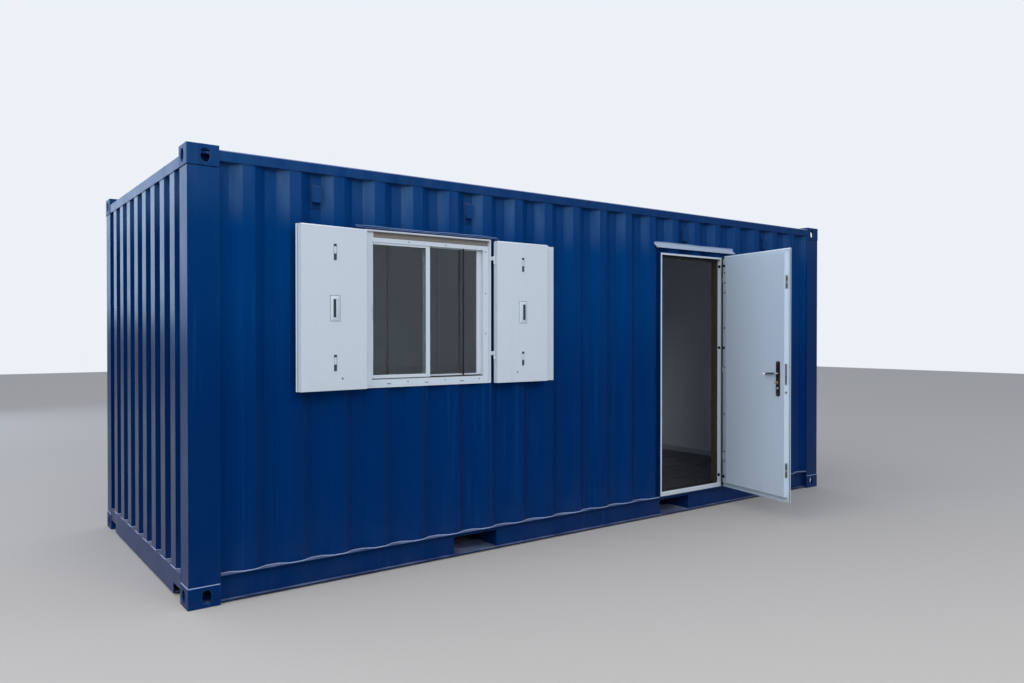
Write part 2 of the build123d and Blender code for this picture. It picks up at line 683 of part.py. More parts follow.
def door_leaf():
    """An insulated leaf: a face sheet that laps over the frame and a body that fits inside it."""
    face = block((DOOR_LEFT + DOOR_FACE - LEAF_OVERLAP, DOOR_RIGHT - DOOR_FACE + LEAF_HINGE_OVERLAP),
                 (LEAF_OUTER_Y, LEAF_BACK_Y),
                 (LEAF_BOTTOM, DOOR_TOP - DOOR_FACE + LEAF_TOP_OVERLAP))
    body = block((LEAF_BODY_LEFT, LEAF_BODY_RIGHT), (LEAF_BACK_Y, LEAF_INNER_Y),
                 (LEAF_BODY_BOTTOM, LEAF_BODY_TOP))
    leaf = face + body
    inner_rim = leaf.faces().sort_by(Axis.Y)[-1].edges()
    leaf = fillet(inner_rim, LEAF_RADIUS)
    mid_y = (LEAF_BACK_Y + LEAF_INNER_Y) / 2
    half = EDGE_SLOT_WIDTH / 2
    for low, high in EDGE_SLOTS:
        leaf -= block((LEAF_BODY_LEFT, LEAF_BODY_LEFT + EDGE_SLOT_DEPTH),
                      (mid_y - half, mid_y + half), (low, high))
    half = LOCK_PLATE_WIDTH / 2
    leaf -= block((LEAF_BODY_LEFT, LEAF_BODY_LEFT + LOCK_PLATE_THICKNESS),
                  (mid_y - half, mid_y + half), (LOCK_PLATE_BOTTOM, LOCK_PLATE_TOP))
    bolt_plane = Plane(origin=(LEAF_BODY_LEFT, mid_y, DEAD_BOLT_HEIGHT), z_dir=(1, 0, 0))
    leaf -= extrude(bolt_plane * Circle(DEAD_BOLT_RADIUS), amount=EDGE_SLOT_DEPTH)
    spindle_plane = Plane(origin=(LEVER_X, LEAF_OUTER_Y, LEVER_HEIGHT), z_dir=(0, 1, 0))
    leaf -= extrude(spindle_plane * Circle(SPINDLE_RADIUS + SPINDLE_CLEARANCE),
                    amount=LEAF_SHEET + LEAF_BODY)
    write("door_leaf", swung(leaf))


def upright_pin(x, y, radius, z):
    """A round bar about an upright axis, between two heights."""
    return Pos(x, y, z[0]) * extrude(Circle(radius), amount=z[1] - z[0])


def door_hinges():
    """Three pin hinges: posts on the frame's side and straps on the leaf's face."""
    posts = []
    straps = []
    leaf_edge = DOOR_RIGHT - DOOR_FACE + LEAF_HINGE_OVERLAP
    leg_x = (leaf_edge + HINGE_CLEARANCE, HINGE_X + HINGE_RADIUS)
    wall_y = -SIDE_SHEET_Y
    for level in HINGE_LEVELS:
        upper = (level + HINGE_JOINT_GAP, level + HINGE_KNUCKLE)
        lower = (level - HINGE_KNUCKLE, level - HINGE_JOINT_GAP)
        post = upright_pin(HINGE_X, HINGE_Y, HINGE_RADIUS, upper)
        post += block(leg_x, (HINGE_Y, wall_y), upper)
        post += block((SUBFRAME_RIGHT, leg_x[1]), (FRONT_Y, wall_y), upper)
        post += upright_pin(HINGE_X, HINGE_Y, HINGE_PIN_RADIUS, (lower[0] + HINGE_JOINT_GAP, upper[0]))
        posts.append(post)
        strap = upright_pin(HINGE_X, HINGE_Y, HINGE_RADIUS, lower)
        strap += block((HINGE_X - HINGE_STRAP, HINGE_X), (LEAF_OUTER_Y - HINGE_PLATE, LEAF_OUTER_Y),
                       lower)
        strap -= upright_pin(HINGE_X, HINGE_Y, HINGE_PIN_RADIUS + HINGE_PIN_CLEARANCE, lower)
        straps.append(swung(strap))
    write("door_hinge_posts", *posts)
    write("door_hinge_straps", *straps)


def door_hinge_bolts():
    """Three short fixed bolts on the hinge edge that enter the frame's holes when it closes."""
    bolts = []
    for level in HINGE_BOLT_LEVELS:
        plane = Plane(origin=(LEAF_BODY_RIGHT, LEAF_BACK_Y + HINGE_BOLT_SETBACK, level),
                      z_dir=(1, 0, 0))
        bolts.append(swung(extrude(plane * Circle(HINGE_BOLT_RADIUS), amount=HINGE_BOLT_LENGTH)))
    write("door_hinge_bolts", *bolts)


def door_lock():
    """Lock plate in the free edge, and a long plate with the cylinder on each face."""
    mid_y = (LEAF_BACK_Y + LEAF_INNER_Y) / 2
    half = LOCK_PLATE_WIDTH / 2
    plate = block((LEAF_BODY_LEFT, LEAF_BODY_LEFT + LOCK_PLATE_THICKNESS),
                  (mid_y - half, mid_y + half), (LOCK_PLATE_BOTTOM, LOCK_PLATE_TOP))
    latch = block((LEAF_BODY_LEFT - LATCH_PROJECTION, LEAF_BODY_LEFT),
                  (mid_y - LATCH_THICKNESS / 2, mid_y + LATCH_THICKNESS / 2),
                  (LEVER_HEIGHT - LATCH_HEIGHT / 2, LEVER_HEIGHT + LATCH_HEIGHT / 2))
    write("door_lock_plate", swung(plate + latch))

    low = LEVER_HEIGHT - ESCUTCHEON_BELOW
    high = LEVER_HEIGHT + ESCUTCHEON_ABOVE
    plates = []
    cylinders = []
    for wall, direction in ((LEAF_INNER_Y, 1), (LEAF_OUTER_Y, -1)):
        depth = sorted((wall, wall + direction * ESCUTCHEON_THICKNESS))
        cover = block((LEVER_X - ESCUTCHEON_WIDTH / 2, LEVER_X + ESCUTCHEON_WIDTH / 2), depth,
                      (low, high))
        cover = fillet(cover.edges().filter_by(Axis.Y), ESCUTCHEON_CORNER)
        bore_plane = Plane(origin=(LEVER_X, depth[0], LEVER_HEIGHT), z_dir=(0, 1, 0))
        cover -= extrude(bore_plane * Circle(SPINDLE_RADIUS + SPINDLE_CLEARANCE),
                         amount=ESCUTCHEON_THICKNESS)
        plates.append(swung(cover))
        start = wall + direction * ESCUTCHEON_THICKNESS
        key_plane = Plane(origin=(LEVER_X, start, LEVER_HEIGHT - CYLINDER_DROP),
                          x_dir=(1, 0, 0), z_dir=(0, direction, 0))
        cylinder = extrude(key_plane * Circle(CYLINDER_RADIUS), amount=CYLINDER_PROJECTION)
        if direction > 0:
            turn_y = start + CYLINDER_PROJECTION
            turn_z = LEVER_HEIGHT - CYLINDER_DROP
            cylinder += block((LEVER_X - THUMB_TURN_WIDTH / 2, LEVER_X + THUMB_TURN_WIDTH / 2),
                              (turn_y, turn_y + THUMB_TURN_DEPTH),
                              (turn_z - THUMB_TURN_HEIGHT / 2, turn_z + THUMB_TURN_HEIGHT / 2))
        cylinders.append(swung(cylinder))
    write("door_escutcheons", *plates)
    write("door_lock_cylinders", *cylinders)


def door_lever():
    """A round spindle through the leaf, with a flat grip on each face that points to the hinges."""
    inner = LEAF_INNER_Y + ESCUTCHEON_THICKNESS + LEVER_STAND_OFF
    outer = LEAF_OUTER_Y - ESCUTCHEON_THICKNESS - LEVER_STAND_OFF
    spindle_plane = Plane(origin=(LEVER_X, outer, LEVER_HEIGHT), z_dir=(0, 1, 0))
    lever = extrude(spindle_plane * Circle(SPINDLE_RADIUS), amount=inner - outer)
    grip_x = LEVER_X - LEVER_WIDTH / 2 + LEVER_LENGTH / 2
    for start in (outer, inner - LEVER_THICKNESS):
        plane = Plane(origin=(grip_x, start, LEVER_HEIGHT), x_dir=(1, 0, 0), z_dir=(0, 1, 0))
        lever += extrude(plane * SlotOverall(LEVER_LENGTH, LEVER_WIDTH), amount=LEVER_THICKNESS)
    write("door_lever", swung(lever))


# Window

def ring(x, y, z, stiles, rails):
    """A rectangular frame, with the widths of its left and right stile and its two rails."""
    opening = block((x[0] + stiles[0], x[1] - stiles[1]), y, (z[0] + rails[0], z[1] - rails[1]))
    return block(x, y, z) - opening


WINDOW_X = (WINDOW_LEFT, WINDOW_RIGHT)
WINDOW_Z = (WINDOW_BOTTOM, WINDOW_TOP)
SURROUND_Y = -SIDE_SHEET_Y - SURROUND_PROJECTION
WINDOW_FRONT_Y = SURROUND_Y + WINDOW_SETBACK
REVEAL_X = (WINDOW_LEFT + SURROUND_FACE, WINDOW_RIGHT - SURROUND_FACE)
REVEAL_Z = (WINDOW_BOTTOM + SURROUND_FACE, WINDOW_TOP - SURROUND_FACE)
FRAME_Z = (REVEAL_Z[0], REVEAL_Z[1] - PACKER_HEIGHT)
SASH_X = (REVEAL_X[0] + WINDOW_FACE, REVEAL_X[1] - WINDOW_FACE)
SASH_Z = (FRAME_Z[0] + WINDOW_FACE, FRAME_Z[1] - WINDOW_HEAD)


def window():
    """Steel surround, packer, frame, sliding left sash, fixed right sash and their panes."""
    edge = (SURROUND_FACE, SURROUND_FACE)
    write("window_surround", ring(WINDOW_X, (SURROUND_Y, -LINING_Y), WINDOW_Z, edge, edge))
    frame_y = (WINDOW_FRONT_Y, WINDOW_FRONT_Y + WINDOW_DEPTH)
    frame = ring(REVEAL_X, frame_y, FRAME_Z, (WINDOW_FACE, WINDOW_FACE), (WINDOW_FACE, WINDOW_HEAD))
    packer_x = (REVEAL_X[0] + PACKER_INSET, REVEAL_X[1])
    frame += block((REVEAL_X[0], packer_x[0]), frame_y, (FRAME_Z[1], REVEAL_Z[1]))
    write("window_frame", frame)
    write("window_packer", block(packer_x, (frame_y[0] + PACKER_SETBACK, frame_y[1]),
                                 (FRAME_Z[1], REVEAL_Z[1])))
    middle = (WINDOW_LEFT + WINDOW_RIGHT) / 2 + MEETING_OFFSET
    front = frame_y[0] + SASH_TRACK_MARGIN
    back = frame_y[1] - SASH_TRACK_MARGIN
    panes = []
    for name, x, y, stiles, rails in (
            ("sliding", (SASH_X[0], middle + MEETING_STILE / 2), (front, front + SASH_THICKNESS),
             (SLIDING_STILE, MEETING_STILE), SLIDING_RAILS),
            ("fixed", (middle - MEETING_STILE / 2, SASH_X[1]), (back - SASH_THICKNESS, back),
             (MEETING_STILE, FIXED_STILE), FIXED_RAILS)):
        write(f"window_{name}_sash", ring(x, y, SASH_Z, stiles, rails))
        middle_y = (y[0] + y[1]) / 2
        panes.append(block((x[0] + stiles[0], x[1] - stiles[1]),
                           (middle_y - GLASS_THICKNESS / 2, middle_y + GLASS_THICKNESS / 2),
                           (SASH_Z[0] + rails[0], SASH_Z[1] - rails[1])))
    write("window_glass", *panes)


# Shutters, modelled closed over the window and then swung open about their hinge pins

SHUTTER_INNER_Y = SURROUND_Y - SHUTTER_CLEARANCE
SHUTTER_PLATE_Y = SHUTTER_INNER_Y - SHUTTER_BODY
SHUTTER_OUTER_Y = SHUTTER_PLATE_Y - SHUTTER_PLATE
SHUTTER_AXIS_Y = (SHUTTER_INNER_Y + SHUTTER_OUTER_Y) / 2


def shutter_leaf(edge, side, width, rim):
    """A steel box leaf on a wider outer plate, with a recess for its pull.

    side is 1 for a leaf that closes towards +X from its hinges, and -1 for the other.
    """
    body_free = edge + side * width
    free = body_free + side * rim
    height = (SHUTTER_BOTTOM, SHUTTER_TOP)
    leaf = block(sorted((edge, body_free)), (SHUTTER_PLATE_Y, SHUTTER_INNER_Y), height)
    leaf = fillet(leaf.faces().sort_by(Axis.Y)[-1].edges(), SHUTTER_RADIUS)
    leaf += block(sorted((edge, free)), (SHUTTER_OUTER_Y, SHUTTER_PLATE_Y), height)
    return leaf - pull_outline(edge + side * width / 2)


def lap_strip(free, side):
    """The stepped strip on the free edge of the right leaf, which covers the left leaf's edge."""
    height = (SHUTTER_BOTTOM, SHUTTER_TOP - LAP_INSET)
    lap_y = SHUTTER_OUTER_Y - LAP_STEP
    seat = free - side * LAP_STEP
    strip = block(sorted((seat, free)), (lap_y, SHUTTER_OUTER_Y), height)
    return strip + block(sorted((seat, free + side * LAP_WIDTH)), (lap_y - SHUTTER_PLATE, lap_y),
                         height)


def pull_outline(middle):
    """The outer block of a flush pull, as far as it is let into the leaf."""
    return block((middle - SHUTTER_PULL_WIDTH / 2, middle + SHUTTER_PULL_WIDTH / 2),
                 (SHUTTER_INNER_Y - SHUTTER_PULL_DEPTH, SHUTTER_INNER_Y),
                 (SHUTTER_PULL_LEVEL - SHUTTER_PULL_HEIGHT / 2,
                  SHUTTER_PULL_LEVEL + SHUTTER_PULL_HEIGHT / 2))


def flush_pull(middle, side):
    """A pressed cup let into the leaf, with a flush grip plate over its half near the hinges."""
    cup = pull_outline(middle)
    box = cup.bounding_box()
    inner_x = (box.min.X + SHUTTER_PULL_RIM, box.max.X - SHUTTER_PULL_RIM)
    inner_z = (box.min.Z + SHUTTER_PULL_RIM, box.max.Z - SHUTTER_PULL_RIM)
    hollow = block(inner_x, (box.min.Y + SHUTTER_PULL_WALL, box.max.Y), inner_z)
    hinge_side = inner_x[0] if side > 0 else inner_x[1]
    grip = block(sorted((hinge_side, hinge_side + side * SHUTTER_PULL_GRIP)),
                 (box.max.Y - SHUTTER_PULL_WALL, box.max.Y), inner_z)
    return cup - hollow + grip


def shutter_hinges(edge, side):
    """The fixed and the moving half of a leaf's two hinges, just outside the window surround."""
    fixed = []
    moving = []
    axis_x = edge - side * SHUTTER_AXIS_OFFSET
    leg_x = sorted((axis_x - side * SHUTTER_LEG_OUTER, axis_x + side * SHUTTER_LEG_INNER))
    foot_x = sorted((axis_x - side * SHUTTER_LEG_OUTER, edge))
    for level in SHUTTER_HINGE_LEVELS:
        upper = (level + HINGE_JOINT_GAP, level + SHUTTER_KNUCKLE)
        lower = (level - SHUTTER_KNUCKLE, level - HINGE_JOINT_GAP)
        post = upright_pin(axis_x, SHUTTER_AXIS_Y, SHUTTER_HINGE_RADIUS, upper)
        post += block(leg_x, (SHUTTER_AXIS_Y, -SIDE_SHEET_Y), upper)
        post += block(foot_x, (SURROUND_Y, -SIDE_SHEET_Y), upper)
        post += upright_pin(axis_x, SHUTTER_AXIS_Y, SHUTTER_PIN_RADIUS,
                            (lower[0] + HINGE_JOINT_GAP, upper[0]))
        fixed.append(post)
        knuckle = upright_pin(axis_x, SHUTTER_AXIS_Y, SHUTTER_HINGE_RADIUS, lower)
        knuckle += block(sorted((axis_x, edge)),
                         (SHUTTER_AXIS_Y - SHUTTER_STRAP / 2, SHUTTER_AXIS_Y + SHUTTER_STRAP / 2),
                         lower)
        knuckle -= upright_pin(axis_x, SHUTTER_AXIS_Y, SHUTTER_PIN_RADIUS + HINGE_PIN_CLEARANCE, lower)
        moving.append(knuckle)
    return fixed, moving


def shutters():
    """Both shutters with their hinges, opened back as in the photograph."""
    posts = []
    for name, edge, side, angle, width, rim in (
            ("left", WINDOW_LEFT, 1, -LEFT_OPEN_ANGLE, LEFT_BODY_WIDTH, LEFT_RIM),
            ("right", WINDOW_RIGHT, -1, RIGHT_OPEN_ANGLE, RIGHT_BODY_WIDTH, RIGHT_RIM)):
        axis_x = edge - side * SHUTTER_AXIS_OFFSET
        fixed, moving = shutter_hinges(edge, side)
        posts += fixed
        leaf = shutter_leaf(edge, side, width, rim)
        if name == "right":
            leaf += lap_strip(edge + side * (width + rim), side)
        pull = flush_pull(edge + side * width / 2, side)
        write(f"shutter_{name}", turned(leaf, axis_x, SHUTTER_AXIS_Y, angle))
        write(f"shutter_{name}_pull", turned(pull, axis_x, SHUTTER_AXIS_Y, angle))
        write(f"shutter_{name}_hinges",
              *[turned(knuckle, axis_x, SHUTTER_AXIS_Y, angle) for knuckle in moving])
    write("shutter_hinge_posts", *posts)


def ventilators():
    """Four small hoods, open below, in the troughs of the front wall under the top rail."""
    vents = []
    wall_y = -SIDE_SHEET_Y + SIDE_DEPTH
    hood_y = wall_y - VENT_BASE_THICKNESS
    for trough in VENT_TROUGHS:
        centre = SIDE_TROUGH_X + trough * SIDE_PITCH
        base_x = (centre - VENT_BASE_WIDTH / 2, centre + VENT_BASE_WIDTH / 2)
        hood_x = (centre - VENT_HOOD_WIDTH / 2, centre + VENT_HOOD_WIDTH / 2)
        base = block(base_x, (hood_y, wall_y), (VENT_BASE_BOTTOM, VENT_BASE_TOP))
        section = [(hood_y, VENT_HOOD_BOTTOM), (hood_y, VENT_HOOD_TOP),
                   (hood_y - VENT_HOOD_DEPTH, VENT_HOOD_TOP - VENT_HOOD_DEPTH / 2),
                   (hood_y - VENT_HOOD_DEPTH, VENT_HOOD_BOTTOM)]
        hood = run_along_x(section, hood_x)
        hood -= block((hood_x[0] + VENT_HOOD_WALL, hood_x[1] - VENT_HOOD_WALL),
                      (hood_y - VENT_HOOD_DEPTH + VENT_HOOD_WALL, hood_y),
                      (VENT_HOOD_BOTTOM, VENT_HOOD_TOP - VENT_HOOD_DEPTH))
        vents.append(base + hood)
    write("ventilators", *vents)


os.makedirs("parts", exist_ok=True)
corner_castings()
corner_posts()
bottom_side_rails()
bottom_end_rails()
top_rails()
roof()
cross_members()
fork_pockets()
floor_layers()
front_wall()
plain_walls()
linings()
skirting()
door_frame()
drip_strips()
door_leaf()
door_hinges()
door_hinge_bolts()
door_lock()
door_lever()
window()
shutters()
ventilators()
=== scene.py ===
import bpy
from math import pi, radians, sin
from mathutils import Matrix, Vector


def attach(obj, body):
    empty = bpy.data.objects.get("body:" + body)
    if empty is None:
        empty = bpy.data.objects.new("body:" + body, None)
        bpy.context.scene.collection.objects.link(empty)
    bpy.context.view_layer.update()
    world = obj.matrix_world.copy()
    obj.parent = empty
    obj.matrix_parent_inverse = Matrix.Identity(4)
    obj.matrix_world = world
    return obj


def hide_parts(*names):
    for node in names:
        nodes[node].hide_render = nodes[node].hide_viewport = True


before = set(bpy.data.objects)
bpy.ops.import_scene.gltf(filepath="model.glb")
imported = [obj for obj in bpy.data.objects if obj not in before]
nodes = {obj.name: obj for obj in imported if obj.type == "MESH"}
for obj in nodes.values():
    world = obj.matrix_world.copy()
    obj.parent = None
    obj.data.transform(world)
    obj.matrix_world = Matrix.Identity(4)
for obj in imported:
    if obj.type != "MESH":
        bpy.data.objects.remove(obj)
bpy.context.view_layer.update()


# The view: a camera at eye height, a few metres off the left front corner, with a wide lens.
# The cabin stands on a plain pale floor under the soft, even light of an overcast day.
LENS, SENSOR = 27.69, 36.0
EYE = (-4.170, -5.765, 1.530)
TILT, TURN = 89.484, -36.526
camera_data = bpy.data.cameras.new("view")
camera_data.lens = LENS
camera_data.sensor_width = SENSOR
camera = bpy.data.objects.new("view", camera_data)
camera.location = EYE
camera.rotation_euler = (radians(TILT), 0.0, radians(TURN))
bpy.context.scene.collection.objects.link(camera)
bpy.context.scene.camera = camera
bpy.context.scene.view_settings.view_transform = "Standard"


def put(tree, kind, inputs=(), **settings):
    """Adds a shader node, with its settings and what goes into its inputs: a value or a link."""
    node = tree.nodes.new("ShaderNode" + kind)
    for label, value in settings.items():
        setattr(node, label, value)
    for socket, value in dict(inputs).items():
        if isinstance(value, bpy.types.NodeSocket):
            tree.links.new(value, node.inputs[socket])
        else:
            node.inputs[socket].default_value = value
    return node


def ramp(tree, value, low=0.0, high=1.0, first=0.0, last=1.0, **settings):
    """Spreads a value, so that one level becomes the first number and another the last."""
    inputs = {0: value, 1: low, 2: high, 3: first, 4: last}
    return put(tree, "MapRange", inputs, **settings).outputs[0]


FLOOR_SIZE = 60.0
FLOOR_TONE = (0.53, 0.495, 0.460, 1.0)
bpy.ops.object.select_all(action="DESELECT")
bpy.ops.mesh.primitive_plane_add(size=FLOOR_SIZE, location=(0.0, 0.0, 0.0))
floor = bpy.context.object
floor.name = "floor"
floor_material = bpy.data.materials.new("pale_floor")
floor_material.use_nodes = True
floor_shader = floor_material.node_tree.nodes["Principled BSDF"]
floor_shader.inputs["Base Color"].default_value = FLOOR_TONE
floor_shader.inputs["Roughness"].default_value = 0.9
floor_shader.inputs["Specular IOR Level"].default_value = 0.1
floor.data.materials.append(floor_material)

SKY_LOW = (0.22, 0.25, 0.30, 1.0)
SKY_HIGH = (0.92, 1.02, 1.18, 1.0)
SKY_HIGH_FROM = 0.45
BACKDROP = (0.84, 0.88, 0.94, 1.0)
LEFT_LIGHT, RIGHT_LIGHT = 0.80, 0.52
world = bpy.data.worlds.new("studio")
bpy.context.scene.world = world
world.use_nodes = True
tree = world.node_tree
tree.nodes.clear()
ray = put(tree, "LightPath").outputs
direct = put(tree, "Math", {0: ray["Is Camera Ray"], 1: ray["Is Transmission Ray"]},
             operation="MAXIMUM")
direction = put(tree, "TexCoord")
upward = put(tree, "SeparateXYZ", {0: direction.outputs["Generated"]})
sky = put(tree, "ValToRGB", {0: upward.outputs["Z"]})
sky.color_ramp.elements[0].position = 0.0
sky.color_ramp.elements[0].color = SKY_LOW
sky.color_ramp.elements[1].position = SKY_HIGH_FROM
sky.color_ramp.elements[1].color = SKY_HIGH
brighter_left = ramp(tree, upward.outputs["X"], low=-1.0, first=LEFT_LIGHT, last=RIGHT_LIGHT)
shown = put(tree, "Background", {"Color": BACKDROP, "Strength": 1.0})
light = put(tree, "Background", {"Color": sky.outputs[0], "Strength": brighter_left})
either = put(tree, "MixShader", {0: direct.outputs[0], 1: light.outputs[0], 2: shown.outputs[0]})
put(tree, "OutputWorld", {"Surface": either.outputs[0]})


def soft_lamp(name, place, aim, size, power, colour=(1.0, 1.0, 1.0)):
    """A large lamp that shines from one point towards another and isn't seen itself."""
    data = bpy.data.lights.new(name, "AREA")
    data.shape = "RECTANGLE"
    data.size, data.size_y = size
    data.energy = power
    data.color = colour
    lamp = bpy.data.objects.new(name, data)
    lamp.visible_camera = False
    lamp.location = place
    lamp.rotation_euler = (Vector(aim) - Vector(place)).to_track_quat("-Z", "Y").to_euler()
    bpy.context.scene.collection.objects.link(lamp)


soft_lamp("sky_left", place=(-9.0, -3.0, 6.5), aim=(-1.5, 0.0, 1.2), size=(7.0, 7.0), power=360.0)
soft_lamp("sky_front", place=(-2.2, -9.4, 5.6), aim=(0.6, -1.2, 1.2), size=(8.0, 4.5), power=355.0)
soft_lamp("sky_behind", place=(-6.5, 11.0, 4.8), aim=(-3.0, 0.0, 1.7), size=(7.0, 6.0), power=235.0,
          colour=(0.62, 0.78, 1.0))


# The container's steel. Every rolled, pressed or cast part was sprayed the same deep blue once it
# was welded. The coat has an orange-peel skin and faint upright brush marks from touching up.
# Dust settles low down and on ledges, rain leaves upright streaks, and edges are paler, partly worn
# and partly a painted highlight. The plates, castings and end walls take darker copies of the blue
# as painted shade. Low down the blue darkens to a deeper tone as painted shade, and high faces
# turned to the left take a chalky tone that is partly chalking and partly painted sheen.
def effect(name, inputs, outputs):
    """A new shader node group, with what it is given and its output node."""
    group = bpy.data.node_groups.new(name, "ShaderNodeTree")
    for label, value in inputs.items():
        socket = group.interface.new_socket(label, in_out="INPUT", socket_type="NodeSocketFloat")
        socket.default_value = value
    for label, kind in outputs.items():
        group.interface.new_socket(label, in_out="OUTPUT", socket_type="NodeSocket" + kind)
    return group, group.nodes.new("NodeGroupInput").outputs, group.nodes.new("NodeGroupOutput")


def clouds(tree, scale, detail=3.0, stretch=(1.0, 1.0, 1.0), low=0.0, high=1.0):
    """Noise on the piece's own coordinates, between two levels that become 0 and 1."""
    coords = put(tree, "TexCoord").outputs["Object"]
    stretched = put(tree, "Mapping", {"Vector": coords, "Scale": stretch}).outputs[0]
    noise = put(tree, "TexNoise", {"Vector": stretched, "Scale": scale, "Detail": detail})
    return ramp(tree, noise.outputs[0], low, high)


def along_axis(tree, source, axis):
    """One axis of the piece's own coordinates (Object), or of the way that its face looks."""
    return put(tree, "SeparateXYZ", {0: put(tree, "TexCoord").outputs[source]}).outputs[axis]


def product(tree, first, second):
    return put(tree, "Math", {0: first, 1: second}, operation="MULTIPLY").outputs[0]


def total(tree, first, second):
    return put(tree, "Math", {0: first, 1: second}, operation="ADD").outputs[0]


relief, given, out = effect("coat_relief", {"Peel": 0.0001, "Wave": 0.001, "Brush": 0.0},
                            {"Height": "Float"})
brushed_on = clouds(relief, scale=1.0, detail=2.0, stretch=(170.0, 170.0, 1.6))
fine = total(relief, product(relief, clouds(relief, scale=230.0, detail=2.0), given["Peel"]),
             product(relief, clouds(relief, scale=2.3, detail=2.0), given["Wave"]))
relief.links.new(total(relief, fine, product(relief, brushed_on, given["Brush"])),
                 out.inputs["Height"])

dust, given, out = effect("settled_dust", {"Foot": 0.0, "Fade": 0.5, "Low": 0.2, "Ledge": 0.6},
                          {"Mask": "Float"})
above = put(dust, "Math", {0: along_axis(dust, "Object", "Z"), 1: given["Foot"]},
            operation="SUBTRACT").outputs[0]
part = put(dust, "Math", {0: above, 1: given["Fade"]}, operation="DIVIDE").outputs[0]
low_down = ramp(dust, part, first=1.0, last=0.0)
low_down = product(dust, product(dust, low_down, low_down), given["Low"])
ledge = product(dust, ramp(dust, along_axis(dust, "Normal", "Z"), low=0.5), given["Ledge"])
both = put(dust, "Math", {0: low_down, 1: ledge}, operation="MAXIMUM").outputs[0]
patchy = total(dust, clouds(dust, scale=7.0, detail=7.0, low=0.35, high=0.75), 0.25)
dust.links.new(product(dust, both, patchy), out.inputs["Mask"])

# A mask that rises with height: below its low level the paint takes a darker tone as painted shade,
# and near the top it bounds the chalk band.
height_ramp, given, out = effect("height_ramp_mask", {"Low": 0.0, "High": 1.0}, {"Mask": "Float"})
rising = ramp(height_ramp, along_axis(height_ramp, "Object", "Z"), given["Low"], given["High"],
              interpolation_type="SMOOTHSTEP")
height_ramp.links.new(rising, out.inputs["Mask"])

# Faces turned to the left, more so towards the left end: the chalky tone there is partly chalking
# and partly painted sheen of light from the left.
weather, given, out = effect("weather_and_left_light", {"Sheltered": 0.19, "Open": -0.45}, {"Mask": "Float"})
open_side = ramp(weather, along_axis(weather, "Normal", "X"), given["Sheltered"], given["Open"])
shielded = ramp(weather, along_axis(weather, "Object", "X"), low=-1.2, high=1.2, first=1.0,
                last=0.45)
weather.links.new(product(weather, open_side, shielded), out.inputs["Mask"])

streaks, given, out = effect("rain_streaks", {"Amount": 0.5}, {"Mask": "Float"})
thin = clouds(streaks, scale=1.0, detail=4.0, stretch=(34.0, 34.0, 0.9), low=0.52, high=0.78)
where = clouds(streaks, scale=1.4, detail=2.0, low=0.4, high=0.65)
streaks.links.new(product(streaks, product(streaks, thin, where), given["Amount"]),
                  out.inputs["Mask"])

# Paler edges: partly wear, partly a painted highlight. Its rounded normal is used everywhere.
edges, given, out = effect("worn_and_highlit_edges", {"Radius": 0.003, "Amount": 0.6},
                           {"Mask": "Float", "Normal": "Vector"})
rounded = put(edges, "Bevel", {"Radius": given["Radius"]}, samples=4)
flat = put(edges, "NewGeometry").outputs["Normal"]
agreement = put(edges, "VectorMath", {0: rounded.outputs[0], 1: flat}, operation="DOT_PRODUCT")
bent = ramp(edges, agreement.outputs["Value"], low=0.995, high=0.86)
chipped = clouds(edges, scale=42.0, detail=4.0, low=0.38, high=0.62)
worn = product(edges, product(edges, bent, chipped), given["Amount"])
edges.links.new(worn, out.inputs["Mask"])
edges.links.new(rounded.outputs[0], out.inputs["Normal"])


def placed(tree, group, **values):
    """A copy of a group in a material's tree, with this material's own values."""
    node = tree.nodes.new("ShaderNodeGroup")
    node.node_tree = group
    for label, value in values.items():
        node.inputs[label].default_value = value
    return node.outputs


def blended(tree, mask, first, second):
    """One colour over another where the mask is 1. Each is a colour or a link."""
    mix = put(tree, "Mix", {"Factor": mask}, data_type="RGBA")
    for socket, colour in ((mix.inputs[6], first), (mix.inputs[7], second)):
        if isinstance(colour, bpy.types.NodeSocket):
            tree.links.new(colour, socket)
        else:
            socket.default_value = (*colour, 1.0)
    return mix.outputs[2]


def new_material(name, specular=0.5, metallic=0.0, tint=(1.0, 1.0, 1.0)):
    """An empty Principled material: the material, its tree and its shader."""
    material = bpy.data.materials.new(name)
    material.use_nodes = True
    shader = material.node_tree.nodes["Principled BSDF"]
    shader.inputs["Specular IOR Level"].default_value = specular
    shader.inputs["Specular Tint"].default_value = (*tint, 1.0)
    shader.inputs["Metallic"].default_value = metallic
    return material, material.node_tree, shader


def dress(tree, shader, base, rough, height, strength, distance, normal=None):
    """Gives a shader its colour, its roughness, and a relief as a bump on the normal."""
    inputs = {"Height": height, "Strength": strength, "Distance": distance}
    if normal is not None:
        inputs["Normal"] = normal
    bump = put(tree, "Bump", inputs).outputs[0]
    for socket, value in (("Base Color", base), ("Roughness", rough), ("Normal", bump)):
        tree.links.new(value, shader.inputs[socket])


